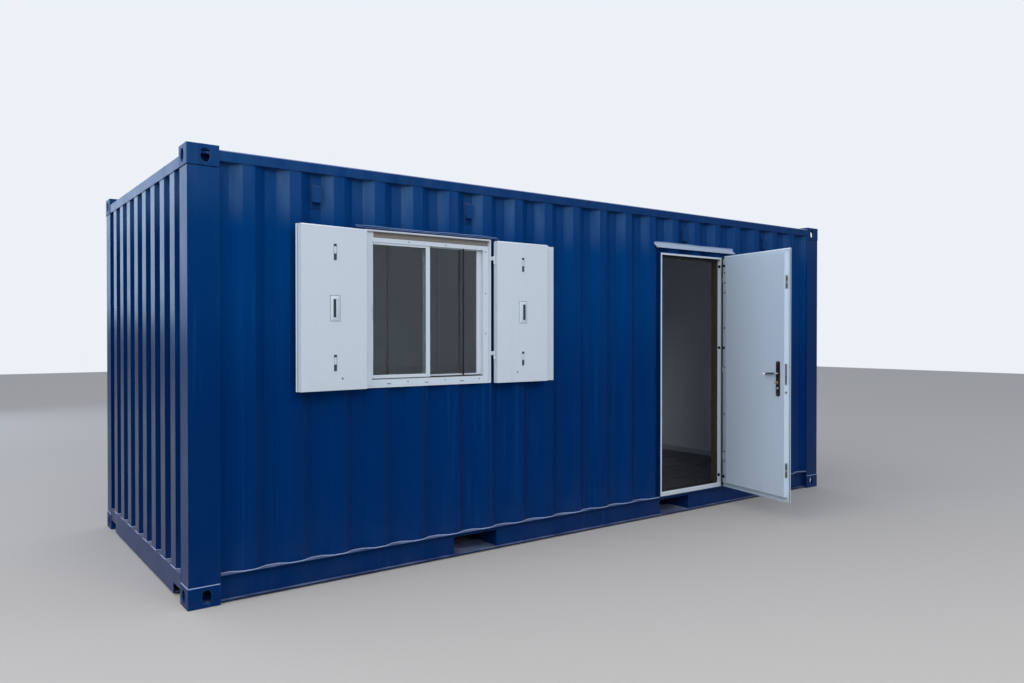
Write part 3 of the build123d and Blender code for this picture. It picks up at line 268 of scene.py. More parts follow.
def paint(name, colours, rough, specular, peel=0.0003, wave=0.0, brush=0.0, flow=0.25, streak=0.5,
          foot=0.0, fade=0.2, dirt=0.2, ledge=0.25, radius=0.001, chip=0.6, tint=(1.0, 1.0, 1.0),
          low_shade_chalk_and_sheen=None):
    """Sprayed paint on steel: its skin, uneven tone, rain streaks, dust, and paler edges that are
    partly worn and partly a painted highlight.

    peel, wave and brush are depths of relief in metres. dirt lies from foot up to fade above it,
    and on ledges. The last argument holds the darker tone painted low down as shade, the chalky
    tone on high faces turned to the left, which is partly chalking and partly painted sheen, and
    the amount of that tone.
    """
    colour, faded, washed, edge, dusty = colours
    material, tree, shader = new_material(name, specular, tint=tint)
    run_down = clouds(tree, scale=1.0, stretch=(90.0, 90.0, 1.1))
    tone = total(tree, product(tree, clouds(tree, scale=1.1), 0.6), product(tree, run_down, flow))
    base = blended(tree, tone, colour, faded)
    # Low down the colour darkens as painted shade; high faces turned to the left take a chalky
    # tone, partly chalking and partly painted sheen.
    if low_shade_chalk_and_sheen is not None:
        painted_low_shade, chalk_and_sheen_tone, amount = low_shade_chalk_and_sheen
        above_low_shade = placed(tree, height_ramp, Low=0.95, High=1.90)["Mask"]
        base = blended(tree, above_low_shade, blended(tree, tone, painted_low_shade, colour), base)
        chalk_and_sheen = product(tree, placed(tree, height_ramp, Low=2.12, High=2.44)["Mask"],
                          placed(tree, weather)["Mask"])
        patchy = clouds(tree, scale=1.0, detail=4.0, stretch=(16.0, 16.0, 3.0), low=0.25, high=0.75)
        chalk_and_sheen = product(tree, product(tree, chalk_and_sheen, total(tree, patchy, 0.35)), amount)
        base = blended(tree, chalk_and_sheen, base, chalk_and_sheen_tone)
    base = blended(tree, placed(tree, streaks, Amount=streak)["Mask"], base, washed)
    lying = placed(tree, dust, Foot=foot, Fade=fade, Low=dirt, Ledge=ledge)["Mask"]
    base = blended(tree, lying, base, dusty)
    # Paler edges, partly rubbed and partly a painted highlight.
    rim = placed(tree, edges, Radius=radius, Amount=chip)
    base = blended(tree, rim["Mask"], base, edge)
    gloss = ramp(tree, clouds(tree, scale=5.0, detail=5.0), first=rough - 0.06, last=rough + 0.10)
    skin = placed(tree, relief, Peel=peel, Wave=wave, Brush=brush)["Height"]
    dress(tree, shader, base, total(tree, gloss, product(tree, lying, 0.6)), skin, 1.0, 1.0,
          rim["Normal"])
    return material


def finish(material, *names):
    """Gives CAD nodes their material."""
    for name in names:
        mesh = nodes[name].data
        mesh.materials.clear()
        mesh.materials.append(material)


# deep blue, and the same faded, washed pale by rain, paler at an edge where rubbed and as a painted
# highlight, and under dust
BLUE = ((0.0002, 0.0275, 0.132), (0.0004, 0.0390, 0.162), (0.006, 0.060, 0.205),
        (0.045, 0.125, 0.310), (0.50, 0.55, 0.68))
# The plates and castings and the end walls take darker copies of the same blue: painted shade.
PLATE_SHADED = ((0.0002, 0.0195, 0.101), (0.0003, 0.0270, 0.122), *BLUE[2:])
ENDS_SHADED = ((0.0002, 0.0150, 0.080), (0.0003, 0.0205, 0.096), *BLUE[2:])
BLUE_GLOSS = (0.03, 0.35, 1.0)
# The darker tone painted low down as shade, the chalky tone with painted sheen on high faces turned
# left, and its amount.
LOW_SHADE_CHALK_AND_SHEEN = ((0.0001, 0.0170, 0.090), (0.038, 0.088, 0.200), 0.95)
plate_blue_shaded = paint("plate_blue_shaded", PLATE_SHADED, rough=0.34, specular=0.24, peel=0.0001, wave=0.0006,
                   brush=0.00035, flow=0.7, streak=0.7, fade=0.45, dirt=0.02, ledge=0.4,
                   radius=0.003, tint=BLUE_GLOSS, low_shade_chalk_and_sheen=LOW_SHADE_CHALK_AND_SHEEN)
sheet_blue = paint("sheet_blue", BLUE, rough=0.30, specular=0.10, peel=0.00008, wave=0.0022,
                   brush=0.0001, flow=0.6, foot=0.16, fade=0.5, dirt=0.012, ledge=0.12,
                   radius=0.006, chip=0.3, tint=BLUE_GLOSS, low_shade_chalk_and_sheen=LOW_SHADE_CHALK_AND_SHEEN)
end_blue_shaded = paint("end_wall_blue_shaded", ENDS_SHADED, rough=0.28, specular=0.24, peel=0.00008, wave=0.0022,
                 brush=0.0001, flow=0.6, foot=0.16, fade=0.5, dirt=0.012, ledge=0.12,
                 radius=0.006, chip=0.2, tint=BLUE_GLOSS, low_shade_chalk_and_sheen=LOW_SHADE_CHALK_AND_SHEEN)
cast_blue_shaded = paint("cast_blue_shaded", PLATE_SHADED, rough=0.44, specular=0.24, peel=0.00045, wave=0.0012,
                  fade=0.35, dirt=0.015, ledge=0.1, radius=0.007, chip=1.0, tint=BLUE_GLOSS,
                  low_shade_chalk_and_sheen=LOW_SHADE_CHALK_AND_SHEEN)
finish(cast_blue_shaded, "corner_castings_bottom", "corner_castings_top")
finish(plate_blue_shaded, "corner_posts", "bottom_side_rails", "bottom_end_rails", "top_side_rails",
       "top_end_rails", "roof_end_plates", "cross_members", "fork_pockets", "door_subframe",
       "window_drip_strip")
finish(sheet_blue, "front_wall_panels", "front_wall_infills", "rear_wall", "roof_sheet",
       "ventilators")
finish(end_blue_shaded, "end_walls")


# The welds. The posts and rails are welded to the castings, and the corrugated sheets to the rails
# and posts. Each bead is a rounded run that follows its joint, painted over with the rest. The foot
# and lower casting welds are pale with dust, the welds at the upper castings are near black as
# painted shade, and a pale bead along each top rail's upper edge is a painted highlight.
def settle(name, body, material, swing=None, smooth=40, second=None):
    """Ends the active piece: its place goes into its mesh, and it gets a name, finish and body.

    swing is the pin and the angle of the leaf it was built on, which was closed then. Edges under
    the smooth angle look rounded. second is another material and the test for its faces.
    """
    piece = bpy.context.object
    bpy.ops.object.transform_apply(location=True, rotation=True, scale=True)
    piece.data.materials.clear()
    piece.data.materials.append(material)
    if second is not None:
        piece.data.materials.append(second[0])
        for face in piece.data.polygons:
            if second[1](face.center, face.normal):
                face.material_index = 1
    if swing is not None:
        pin = Matrix.Translation((*swing[0], 0.0))
        piece.matrix_world = pin @ Matrix.Rotation(radians(swing[1]), 4, "Z") @ pin.inverted()
        bpy.ops.object.transform_apply(location=True, rotation=True, scale=True)
    bpy.ops.object.shade_smooth_by_angle(angle=radians(smooth))
    piece.name = name
    piece.data.name = name
    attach(piece, body)
    return piece


def start_edit(mode="FACE"):
    bpy.ops.object.mode_set(mode="EDIT")
    bpy.ops.mesh.select_mode(type=mode)
    bpy.ops.mesh.select_all(action="SELECT")


def end_edit():
    """Leaves edit mode with the faces turned outwards."""
    bpy.ops.mesh.select_all(action="SELECT")
    bpy.ops.mesh.normals_make_consistent(inside=False)
    bpy.ops.object.mode_set(mode="OBJECT")


def bead(points, radius, axis):
    """A hexagonal rod pushed from point to point, starting square to the given axis."""
    turn = {"X": (0.0, pi / 2, 0.0), "Y": (pi / 2, 0.0, 0.0), "Z": (0.0, 0.0, 0.0)}[axis]
    bpy.ops.object.select_all(action="DESELECT")
    bpy.ops.mesh.primitive_circle_add(vertices=6, radius=radius, fill_type="NGON",
                                      location=points[0], rotation=turn)
    start_edit()
    for here, there in zip(points, points[1:]):
        step = Vector(there) - Vector(here)
        bpy.ops.mesh.extrude_region_move(TRANSFORM_OT_translate={"value": step})
    end_edit()
    return bpy.context.object


def joined(pieces):
    """Several pieces made one, with the first one active."""
    bpy.ops.object.select_all(action="DESELECT")
    for piece in pieces:
        piece.select_set(True)
    bpy.context.view_layer.objects.active = pieces[0]
    bpy.ops.object.join()
    return bpy.context.object


def folds(start, stop, trough, pitch, outer, inner, depth):
    """The bends of a corrugated sheet between two ends, as (along, inward) points."""
    slope = (pitch - outer - inner) / 2
    points = []
    along = trough - pitch * 30  # well outside the sheet
    while along < stop:
        for offset, inward in ((-inner / 2 - slope, 0.0), (-inner / 2, depth), (inner / 2, depth),
                               (inner / 2 + slope, 0.0)):
            points.append((along + offset, inward))
        along += pitch

    def at(place):
        for (a, p), (b, q) in zip(points, points[1:]):
            if a <= place <= b:
                return (place, p + (q - p) * (place - a) / (b - a))
        return (place, 0.0)

    return [at(start)] + [point for point in points if start < point[0] < stop] + [at(stop)]


# the middle of a trough, the pitch, the outer flat, the inner flat, and the depth
SIDE_FOLDS = (-2.265, 0.278, 0.072, 0.070, 0.036)
END_FOLDS = (0.0, 0.250, 0.110, 0.104, 0.0456)
WALL_Y = -1.209
END_WALL_X = -3.022
RAIL_TOP = 0.165
RAIL_UNDER = 2.508
END_RAIL_UNDER = 2.476
CORNER = (2.851, 1.057)
DOORWAY_SIDES = (0.738, 1.535)
PROUD = 0.001
FOOT_BEAD, HEAD_BEAD, END_BEAD = 0.0042, 0.0035, 0.0038
runs = []
for low, high in ((-CORNER[0], DOORWAY_SIDES[0]), (DOORWAY_SIDES[1], CORNER[0])):
    line = folds(low, high, *SIDE_FOLDS)
    runs.append(bead([(x, WALL_Y + y - PROUD, RAIL_TOP + PROUD) for x, y in line], FOOT_BEAD, "X"))
line = folds(-CORNER[0], CORNER[0], *SIDE_FOLDS)
runs.append(bead([(x, -(WALL_Y + y - PROUD), RAIL_TOP + PROUD) for x, y in line], FOOT_BEAD, "X"))
upper = [bead([(x, side * (WALL_Y + y - PROUD), RAIL_UNDER - PROUD) for x, y in line],
              HEAD_BEAD, "X") for side in (1, -1)]
for side in (-1, 1):
    line = folds(-CORNER[1], CORNER[1], *END_FOLDS)
    for height, group in ((RAIL_TOP + PROUD, runs), (END_RAIL_UNDER, upper)):
        points = [(side * -(END_WALL_X + x - PROUD), y, height) for y, x in line]
        group.append(bead(points, END_BEAD, "Y"))
# The pale tone is dust on the foot and casting welds, and a painted highlight on the top rail rims.
WELD_DUST_AND_HIGHLIGHT = ((0.20, 0.26, 0.42), (0.30, 0.36, 0.54), (0.36, 0.43, 0.62), (0.40, 0.48, 0.68),
        (0.50, 0.55, 0.66))
pale_weld_and_highlight = paint("dusty_weld_and_highlight", WELD_DUST_AND_HIGHLIGHT, rough=0.5, specular=0.3, flow=0.8, chip=0.2)
joined(runs)
settle("foot_welds", "cabin", pale_weld_and_highlight, smooth=50)

CASTING_FACE = (3.0243, 1.2143)
CASTING_SIDE = (2.852, 1.058)
CASTING_TOP, UPPER_CASTING = 0.118, 2.473
POST_LINES, POST_LEVELS = ((2.8512, 1.2125), (3.0232, 1.0572)), (0.12, 2.47)
CASTING_BEAD, POST_BEAD, RIM_BEAD = 0.0045, 0.0032, 0.0034
seams = []
shaded = []
for x_side in (-1, 1):
    for y_side in (-1, 1):
        x, y = x_side * CASTING_FACE[0], y_side * CASTING_FACE[1]
        for height, group in ((CASTING_TOP, seams), (UPPER_CASTING, shaded)):
            corner = (x, y, height)
            group.append(bead([corner, (x_side * CASTING_SIDE[0], y, height)], CASTING_BEAD, "X"))
            group.append(bead([corner, (x, y_side * CASTING_SIDE[1], height)], CASTING_BEAD, "Y"))
        for post_x, post_y in POST_LINES:
            line = [(x_side * post_x, y_side * post_y, level) for level in POST_LEVELS]
            upper.append(bead(line, POST_BEAD, "Z"))
joined(seams)
settle("casting_welds", "cabin", pale_weld_and_highlight, smooth=50)
coat_weld = paint("coated_weld", BLUE, rough=0.36, specular=0.24, fade=0.4, dirt=0.02, ledge=0.3,
                  chip=0.15, tint=BLUE_GLOSS, low_shade_chalk_and_sheen=LOW_SHADE_CHALK_AND_SHEEN)
joined(upper)
settle("wall_and_post_welds", "cabin", coat_weld, smooth=50)
SHADED = ((0.0, 0.004, 0.030), (0.0, 0.007, 0.045), *BLUE[2:])
dark_weld = paint("shaded_weld", SHADED, rough=0.5, specular=0.1, streak=0.1, fade=0.4, dirt=0.0,
                  ledge=0.0, chip=0.0, tint=BLUE_GLOSS)
joined(shaded)
settle("upper_casting_welds", "cabin", dark_weld, smooth=50)
# A pale bead along each top rail's upper edge: a painted highlight.
RIM_Y, RIM_TOP = 1.2130, 2.5668
joined([bead([(-CORNER[0], side * RIM_Y, RIM_TOP), (CORNER[0], side * RIM_Y, RIM_TOP)],
             RIM_BEAD, "X") for side in (-1, 1)])
settle("top_rail_rim_highlights", "cabin", pale_weld_and_highlight, smooth=50)


# The base: plywood boards on the cross members, with a dark sheet vinyl over them. The vinyl is
# speckled, a little glossy, and scuffed and dusty in patches.
DARK_GRAIN, LIGHT_GRAIN = (0.20, 0.115, 0.055), (0.34, 0.22, 0.12)
plywood, tree, shader = new_material("plywood", specular=0.3)
grain = clouds(tree, scale=3.0, detail=6.0, stretch=(1.0, 26.0, 26.0), low=0.3, high=0.7)
dress(tree, shader, blended(tree, grain, DARK_GRAIN, LIGHT_GRAIN),
      ramp(tree, grain, first=0.6, last=0.8), grain, strength=0.5, distance=0.001)
finish(plywood, "floor_boards")

VINYL, SPECK, SCUFF = (0.020, 0.024, 0.031), (0.070, 0.080, 0.095), (0.17, 0.16, 0.15)
vinyl, tree, shader = new_material("sheet_vinyl", specular=0.5)
specks = clouds(tree, scale=420.0, detail=1.0, low=0.56, high=0.66)
scuffs = clouds(tree, scale=3.5, detail=6.0, stretch=(1.0, 1.8, 1.0), low=0.5, high=0.72)
base = blended(tree, product(tree, scuffs, 0.35), blended(tree, specks, VINYL, SPECK), SCUFF)
dress(tree, shader, base, ramp(tree, scuffs, first=0.30, last=0.55),
      clouds(tree, scale=120.0, detail=2.0), strength=0.4, distance=0.0006)
finish(vinyl, "floor_covering")


# The lining: pale faced panels on battens, with a ceiling of the same. The joints between panels
# are covered by slim strips with rounded faces, and a painted skirting closes the foot.
PANEL, RUBBED = (0.80, 0.84, 0.90), (0.66, 0.68, 0.71)
lining, tree, shader = new_material("lining_panel", specular=0.35)
marks = clouds(tree, scale=4.0, detail=6.0, stretch=(1.0, 1.0, 0.35), low=0.45, high=0.8)
grain = clouds(tree, scale=300.0, stretch=(1.0, 1.0, 0.4))
dress(tree, shader, blended(tree, product(tree, marks, 0.3), PANEL, RUBBED),
      ramp(tree, marks, first=0.42, last=0.6), grain, strength=0.35, distance=0.0006)
finish(lining, "lining_front_panels", "lining_front_infills", "lining_rear", "lining_ends",
       "ceiling_lining")


def bar(x, y, z, rounding=0.0, segments=2):
    """A bar between two limits along each axis, with its edges eased by a bevel."""
    centre = [(low + high) / 2 for low, high in (x, y, z)]
    size = [abs(high - low) for low, high in (x, y, z)]
    bpy.ops.object.select_all(action="DESELECT")
    bpy.ops.mesh.primitive_cube_add(size=1.0, location=centre, scale=size)
    bpy.ops.object.transform_apply(location=False, rotation=False, scale=True)
    if rounding:
        modifier = bpy.context.object.modifiers.new("eased", "BEVEL")
        modifier.width = rounding
        modifier.segments = segments
        bpy.ops.object.modifier_apply(modifier="eased")
    return bpy.context.object


PANEL_WIDTH = 1.2
STRIP_HALF = 0.02
STRIP_LEVELS = (0.236, 2.508)
STRIP_EASE = 0.0018
REAR_FACE, FRONT_FACE, END_FACE = (1.129, 1.133), (-1.133, -1.129), (2.885, 2.881)
strips = []
for face, numbers in ((REAR_FACE, range(-2, 3)), (FRONT_FACE, (-2, 0))):
    for number in numbers:
        x = number * PANEL_WIDTH
        strips.append(bar((x - STRIP_HALF, x + STRIP_HALF), face, STRIP_LEVELS, STRIP_EASE))
for side in (-1, 1):
    strips.append(bar([side * x for x in END_FACE], (-STRIP_HALF, STRIP_HALF), STRIP_LEVELS,
                      STRIP_EASE))
joined(strips)
settle("lining_joint_strips", "cabin", lining)


# Pale paint. The door, its frame, the window surround and the shutters are folded steel, powder
# coated a cool off-white before they were fitted, so the coat is smoother than the shell's. The
# leaf's copy of the coat is bluer as painted skylight and darkens towards the hinge side as painted
# shade, and the pale edges of the leaf and shutters are a painted highlight.
WHITE = ((0.545, 0.615, 0.685), (0.585, 0.645, 0.705), (0.47, 0.50, 0.52), (0.80, 0.86, 0.93),
         (0.30, 0.285, 0.26))
# The leaf's bluer copy of the coat: painted skylight.
LEAF_WHITE_SKYLIT = ((0.53, 0.635, 0.745), (0.57, 0.67, 0.775), (0.46, 0.53, 0.60), (0.78, 0.86, 0.94),
              (0.30, 0.29, 0.28))
# The leaf darkens towards its hinge side: painted shade.
HINGE_SIDE_SHADE = (0.27, 0.345, 0.42)
leaf_white_skylit = paint("leaf_white_skylit", LEAF_WHITE_SKYLIT, rough=0.36, specular=0.35, peel=0.00005, wave=0.0007,
                   streak=0.3, foot=0.16, fade=0.30, dirt=0.25, ledge=0.03, radius=0.0012, chip=0.9)
tree = leaf_white_skylit.node_tree
shader = tree.nodes["Principled BSDF"]
painted_hinge_shade = ramp(tree, along_axis(tree, "Object", "Y"), low=-1.80, high=-1.26, last=0.42)
coated = shader.inputs["Base Color"].links[0].from_socket
tree.links.new(blended(tree, painted_hinge_shade, coated, HINGE_SIDE_SHADE), shader.inputs["Base Color"])
frame_white = paint("frame_white", WHITE, rough=0.33, specular=0.35, peel=0.00006, wave=0.0002,
                    streak=0.35, foot=0.15, fade=0.30, dirt=0.25, radius=0.0018)
shutter_white = paint("shutter_white", WHITE, rough=0.38, specular=0.30, peel=0.00006, wave=0.0010,
                      streak=0.22, foot=1.10, fade=0.35, dirt=0.12, ledge=0.0, chip=0.9)
finish(frame_white, "door_frame", "door_threshold", "door_hinge_posts",
       "door_hinge_straps", "window_surround", "window_frame", "window_sliding_sash",
       "window_fixed_sash", "shutter_hinge_posts", "shutter_left_hinges", "shutter_right_hinges",
       "skirting")
finish(leaf_white_skylit, "door_leaf")
finish(shutter_white, "shutter_left", "shutter_right")
# A brighter white for the top folds of the leaf and shutters: a painted highlight.
FOLD_HIGHLIGHT = ((0.80, 0.88, 0.98), (0.84, 0.92, 1.0), (0.70, 0.76, 0.84), (0.9, 0.95, 1.0),
        (0.6, 0.62, 0.66))
fold_highlight = paint("fold_highlight", FOLD_HIGHLIGHT, rough=0.36, specular=0.4, peel=0.00005, streak=0.15,
                   dirt=0.1, ledge=0.05, chip=0.4)


# Black rubber, black plastic and matt dark paint: seals, gaskets and covers, and the dark matt
# tones that paint the shade in the door's reveal, the window's track, drains and packer, and the
# shutters' recesses.
# They are dull, with a moulded or sprayed grain, eased edges and a slight bloom of dust.
EASED = 0.0012


def dull_finish(name, colour, rough, dusty, specular=0.4):
    """Rubber, plastic or matt paint, with fine grain, eased edges and a bloom of dust."""
    material, tree, shader = new_material(name, specular)
    bloom = clouds(tree, scale=26.0, detail=5.0, low=0.42, high=0.75)
    dress(tree, shader, blended(tree, product(tree, bloom, 0.5), colour, dusty),
          ramp(tree, bloom, first=rough, last=rough + 0.2), clouds(tree, scale=500.0, detail=2.0),
          0.4, 0.0002, normal=placed(tree, edges, Radius=EASED, Amount=0.0)["Normal"])
    return material


rubber = dull_finish("rubber", (0.008, 0.008, 0.009), 0.55, (0.05, 0.048, 0.045))
# Near black: the lock covers' and screws' own black, and painted shade in the strike plate's
# openings and the keyway.
black_metal_and_hole_shade = dull_finish("black_metal_and_hole_shade", (0.010, 0.010, 0.011), 0.30, (0.045, 0.044, 0.042))
# Dark brown-black: painted shade on the door's reveal and the window's track and drains, and the
# shutters' dark plugs.
dark_matt_and_painted_shade = dull_finish("dark_matt_and_painted_shade", (0.032, 0.027, 0.019), 0.45, (0.06, 0.052, 0.04))
# Brownish grey on the window packer: painted shade under the surround's head.
packer_painted_shade = dull_finish("packer_painted_shade", (0.185, 0.170, 0.150), 0.6, (0.25, 0.235, 0.20))
jet = dull_finish("jet_plastic", (0.002, 0.002, 0.0025), 0.55, (0.008, 0.008, 0.009), 0.12)
shaded_steel = dull_finish("shaded_steel", (0.050, 0.056, 0.068), 0.5, (0.11, 0.12, 0.14))
finish(dark_matt_and_painted_shade, "door_reveal")
finish(packer_painted_shade, "window_packer")


# Bare metal: brushed stainless for the lock's plates, polished steel for the lever, brass for the
# cylinder and its thumb turn.
def bare_metal(name, colour, rough, stretch):
    """Metal with fine lines or grain, which is finer along an axis where the stretch is larger."""
    material, tree, shader = new_material(name, metallic=1.0)
    lines = clouds(tree, scale=1.0, stretch=stretch)
    deep = tuple(0.82 * part for part in colour)
    dress(tree, shader, blended(tree, lines, deep, colour),
          ramp(tree, lines, first=rough - 0.05, last=rough + 0.12), lines,
          0.3, 0.0001, normal=placed(tree, edges, Radius=EASED, Amount=0.0)["Normal"])
    return material


brushed = bare_metal("brushed_steel", (0.46, 0.47, 0.48), 0.36, (900.0, 900.0, 20.0))
polished = bare_metal("polished_steel", (0.90, 0.91, 0.93), 0.30, (300.0, 300.0, 300.0))
brass = bare_metal("brass", (0.78, 0.55, 0.36), 0.28, (400.0, 400.0, 400.0))
edge_steel = bare_metal("edge_steel", (0.26, 0.28, 0.31), 0.42, (900.0, 900.0, 20.0))
finish(edge_steel, "door_lock_plate")


# The doorway's seals: black rubber beads on the front of the reveal, against which the leaf's body
# closes. A thin black sheet under the head and two black strips beside the hinge jamb are painted
# shade. A ribbed rubber tread lies on the threshold.
SEAL_FACE = (-1.184, -1.1875)
SEAL_LEVELS = (0.212, 2.196)
SEAL_EASE = 0.0014
# The head sheet and the two strips beside the hinge jamb (the last three bars) are painted shade.
joined([bar((1.5062, 1.5128), SEAL_FACE, SEAL_LEVELS, SEAL_EASE),
        bar((0.762, 0.774), SEAL_FACE, SEAL_LEVELS, SEAL_EASE),
        bar((0.776, 1.497), SEAL_FACE, (2.182, 2.194), SEAL_EASE),
        bar((0.7600, 1.5130), (-1.2185, -1.1850), (2.1955, 2.1981), 0.0008),
        bar((1.5255, 1.5352), (-1.2228, -1.2190), (0.178, 2.212), SEAL_EASE),
        bar((1.5352, 1.5545), (-1.2228, -1.1900), (0.178, 2.216), SEAL_EASE)])
settle("door_seals_and_shade_strips", "cabin", rubber)

RIB_COUNT, FIRST_RIB, RIB_PITCH, RIB_HALF = 8, -1.201, 0.0092, 0.002
tread = [bar((0.7765, 1.4965), (-1.206, -1.131), (0.207, 0.2085), 0.0004, 1)]
for number in range(RIB_COUNT):
    y = FIRST_RIB + number * RIB_PITCH
    tread.append(bar((0.779, 1.494), (y - RIB_HALF, y + RIB_HALF), (0.2083, 0.2100), 0.0008, 1))
joined(tread)
settle("threshold_tread", "cabin", rubber)


# The frame's fittings: black plastic cups in the holes that the leaf's fixed bolts enter, and a
# strike plate with the latch and bolt openings in the other jamb, held by two screws.
SAME_WAY = 0.9


def choose(axis, side):
    """Selects the faces that look along an axis, or against it, in edit mode."""
    bpy.ops.mesh.select_all(action="DESELECT")
    bpy.ops.object.mode_set(mode="OBJECT")
    for face in bpy.context.object.data.polygons:
        face.select = face.normal["XYZ".index(axis)] * side > SAME_WAY
    bpy.ops.object.mode_set(mode="EDIT")


def edit_side(axis, side):
    """Enters edit mode with only the faces on one side selected."""
    start_edit()
    choose(axis, side)


def pushed(x=0.0, y=0.0, z=0.0):
    """Extrudes what is selected by a step."""
    bpy.ops.mesh.extrude_region_move(TRANSFORM_OT_translate={"value": (x, y, z)})


def stepped(inset, x=0.0, y=0.0, z=0.0):
    """Insets what is selected and moves it by a step, which leaves a sloping rim."""
    bpy.ops.mesh.inset(thickness=inset)
    bpy.ops.transform.translate(value=(x, y, z))


def rod(place, radius, depth, facing, vertices):
    """A cylinder whose axis lies along X, Y or Z."""
    turn = {"X": (0.0, pi / 2, 0.0), "Y": (pi / 2, 0.0, 0.0), "Z": (0.0, 0.0, 0.0)}[facing]
    bpy.ops.object.select_all(action="DESELECT")
    bpy.ops.mesh.primitive_cylinder_add(vertices=vertices, radius=radius, depth=depth,
                                        location=place, rotation=turn)
    bpy.ops.object.transform_apply(location=False, rotation=True, scale=False)
    return bpy.context.object


def repeated(piece, places):
    """The piece and copies of it, each with its own mesh, moved by the given steps."""
    everything = [piece]
    for place in places:
        bpy.ops.object.select_all(action="DESELECT")
        piece.select_set(True)
        bpy.context.view_layer.objects.active = piece
        bpy.ops.object.duplicate(linked=False)
        bpy.context.object.location = piece.location + Vector(place)
        everything.append(bpy.context.object)
    return joined(everything)


def screw(place, radius, facing, side, rise):
    """A low domed screw head with a driving recess, which faces along the axis or against it."""
    piece = rod(place, radius, rise, facing, 12)
    outward = Vector((0.0, 0.0, 0.0))
    outward["XYZ".index(facing)] = side
    edit_side(facing, side)
    stepped(radius * 0.30, *(outward * rise * 0.45))
    bpy.ops.mesh.inset(thickness=radius * 0.28)
    pushed(*(outward * rise * -0.9))
    end_edit()
    return piece


BOLT_Y = -1.2043
BOLT_LEVELS = (0.273, 1.411, 2.135)
cup = rod((1.5140, BOLT_Y, BOLT_LEVELS[0]), 0.0136, 0.0018, "X", 24)
edit_side("X", 1)
bpy.ops.mesh.inset(thickness=0.0020)
pushed(x=0.0090)
choose("X", -1)
stepped(0.0010, x=-0.0006)
bpy.ops.mesh.inset(thickness=0.0022)
pushed(x=0.0100)
end_edit()
repeated(cup, [(0.0, 0.0, level - BOLT_LEVELS[0]) for level in BOLT_LEVELS[1:]])
settle("bolt_cups", "cabin", jet)

STRIKE_FACE, STRIKE_SCREWS = (0.7590, 0.7596), (1.126, 1.294)
joined([bar((0.758, 0.7592), (-1.2175, -1.1905), (1.118, 1.302), 0.0004, 1)] + [
    screw((0.7596, -1.204, level), 0.0034, "X", 1, 0.0010) for level in STRIKE_SCREWS])
settle("strike_plate", "cabin", brushed)
# Black bars in the strike plate's openings: painted shade.
joined([bar(STRIKE_FACE, (-1.2105, -1.1975), (1.196, 1.234), 0.0002, 1),
        bar(STRIKE_FACE, (-1.2090, -1.1990), (1.136, 1.180), 0.0002, 1)])
settle("strike_openings", "cabin", black_metal_and_hole_shade)


# The leaf's edges: a dark bar of painted shadow at the joint in its sheet, a bright fold along its
# top whose white is a painted highlight, and fixed black bolts on the hinge side, each with a round
# cap on a grey strip whose grey is painted shade beside the hinge. Small dark screws run down the
# same strip.
DOOR = ((1.545, -1.240), 78.5)
bar((0.7454, 0.7466), (-1.2325, -1.2252), (0.178, 2.217), 0.0005)
settle("leaf_sheet_joint", "door", shaded_steel, DOOR)
# A bright fold along the leaf's top: a painted highlight.
bar((0.7470, 1.5330), (-1.2251, -1.2236), (2.2150, 2.2237), 0.0006)
settle("leaf_top_fold", "door", fold_highlight, DOOR)
# A grey strip beside the hinge: painted shade.
bar((1.4560, 1.5066), (-1.1895, -1.1883), (0.231, 2.182), 0.0005)
COVER_SHADE = ((0.33, 0.38, 0.46), (0.37, 0.42, 0.50), (0.30, 0.33, 0.39), (0.45, 0.50, 0.58),
         (0.3, 0.29, 0.28))
hinge_strip_shade = paint("hinge_strip_shade", COVER_SHADE, rough=0.4, specular=0.3, peel=0.00005, foot=0.16, fade=0.3,
                   chip=0.2)
settle("leaf_hinge_shade_strip", "door", hinge_strip_shade, DOOR)

def crowned(axis, side, *steps):
    """Raises one side of the active piece by steps, each of them an inset and a rise."""
    edit_side(axis, side)
    for inset, rise in steps:
        stepped(inset, **{axis.lower(): side * rise})
    end_edit()


bolts = []
for level in BOLT_LEVELS:
    pin = rod((1.5103, BOLT_Y, level), 0.0080, 0.011, "X", 20)
    crowned("X", 1, (0.0022, 0.0022))
    cap = rod((1.4918, -1.1875, level), 0.0132, 0.0026, "Y", 24)
    edit_side("Y", 1)
    stepped(0.0016, y=0.0008)
    bpy.ops.mesh.inset(thickness=0.0030)
    pushed(y=-0.0008)
    end_edit()
    bolts += [pin, cap]
joined(bolts)
bolt_piece = settle("hinge_side_bolts", "door", jet, DOOR)
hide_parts("door_hinge_bolts")

TOP_SCREW = 2.073
LOWER_SCREWS = (1.984, 1.898, 1.587, 1.241, 0.828, 0.497, 0.409)
repeated(screw((1.483, -1.1878, TOP_SCREW), 0.0080, "Y", 1, 0.0014),
         [(0.0, 0.0, level - TOP_SCREW) for level in LOWER_SCREWS])
settle("leaf_edge_screws", "door", black_metal_and_hole_shade, DOOR)


# The multi-point lock in the leaf's free edge: screws and a dark bolt slot in its plate, a plate
# with rounded ends over each of the two edge openings, and a bushed bolt hole.
def rounded_plate(x, y, z, facing, radius):
    """A flat plate with its four corners rounded, left in edit mode."""
    piece = bar(x, y, z)
    axis = "XYZ".index(facing)
    start_edit("EDGE")
    bpy.ops.mesh.select_all(action="DESELECT")
    bpy.ops.object.mode_set(mode="OBJECT")
    for edge in piece.data.edges:
        a, b = (piece.data.vertices[number].co for number in edge.vertices)
        edge.select = abs(a[axis] - b[axis]) > 0.0001
    bpy.ops.object.mode_set(mode="EDIT")
    bpy.ops.mesh.bevel(offset=radius, segments=7, affect="EDGES")
    bpy.ops.mesh.select_mode(type="FACE")
    return piece


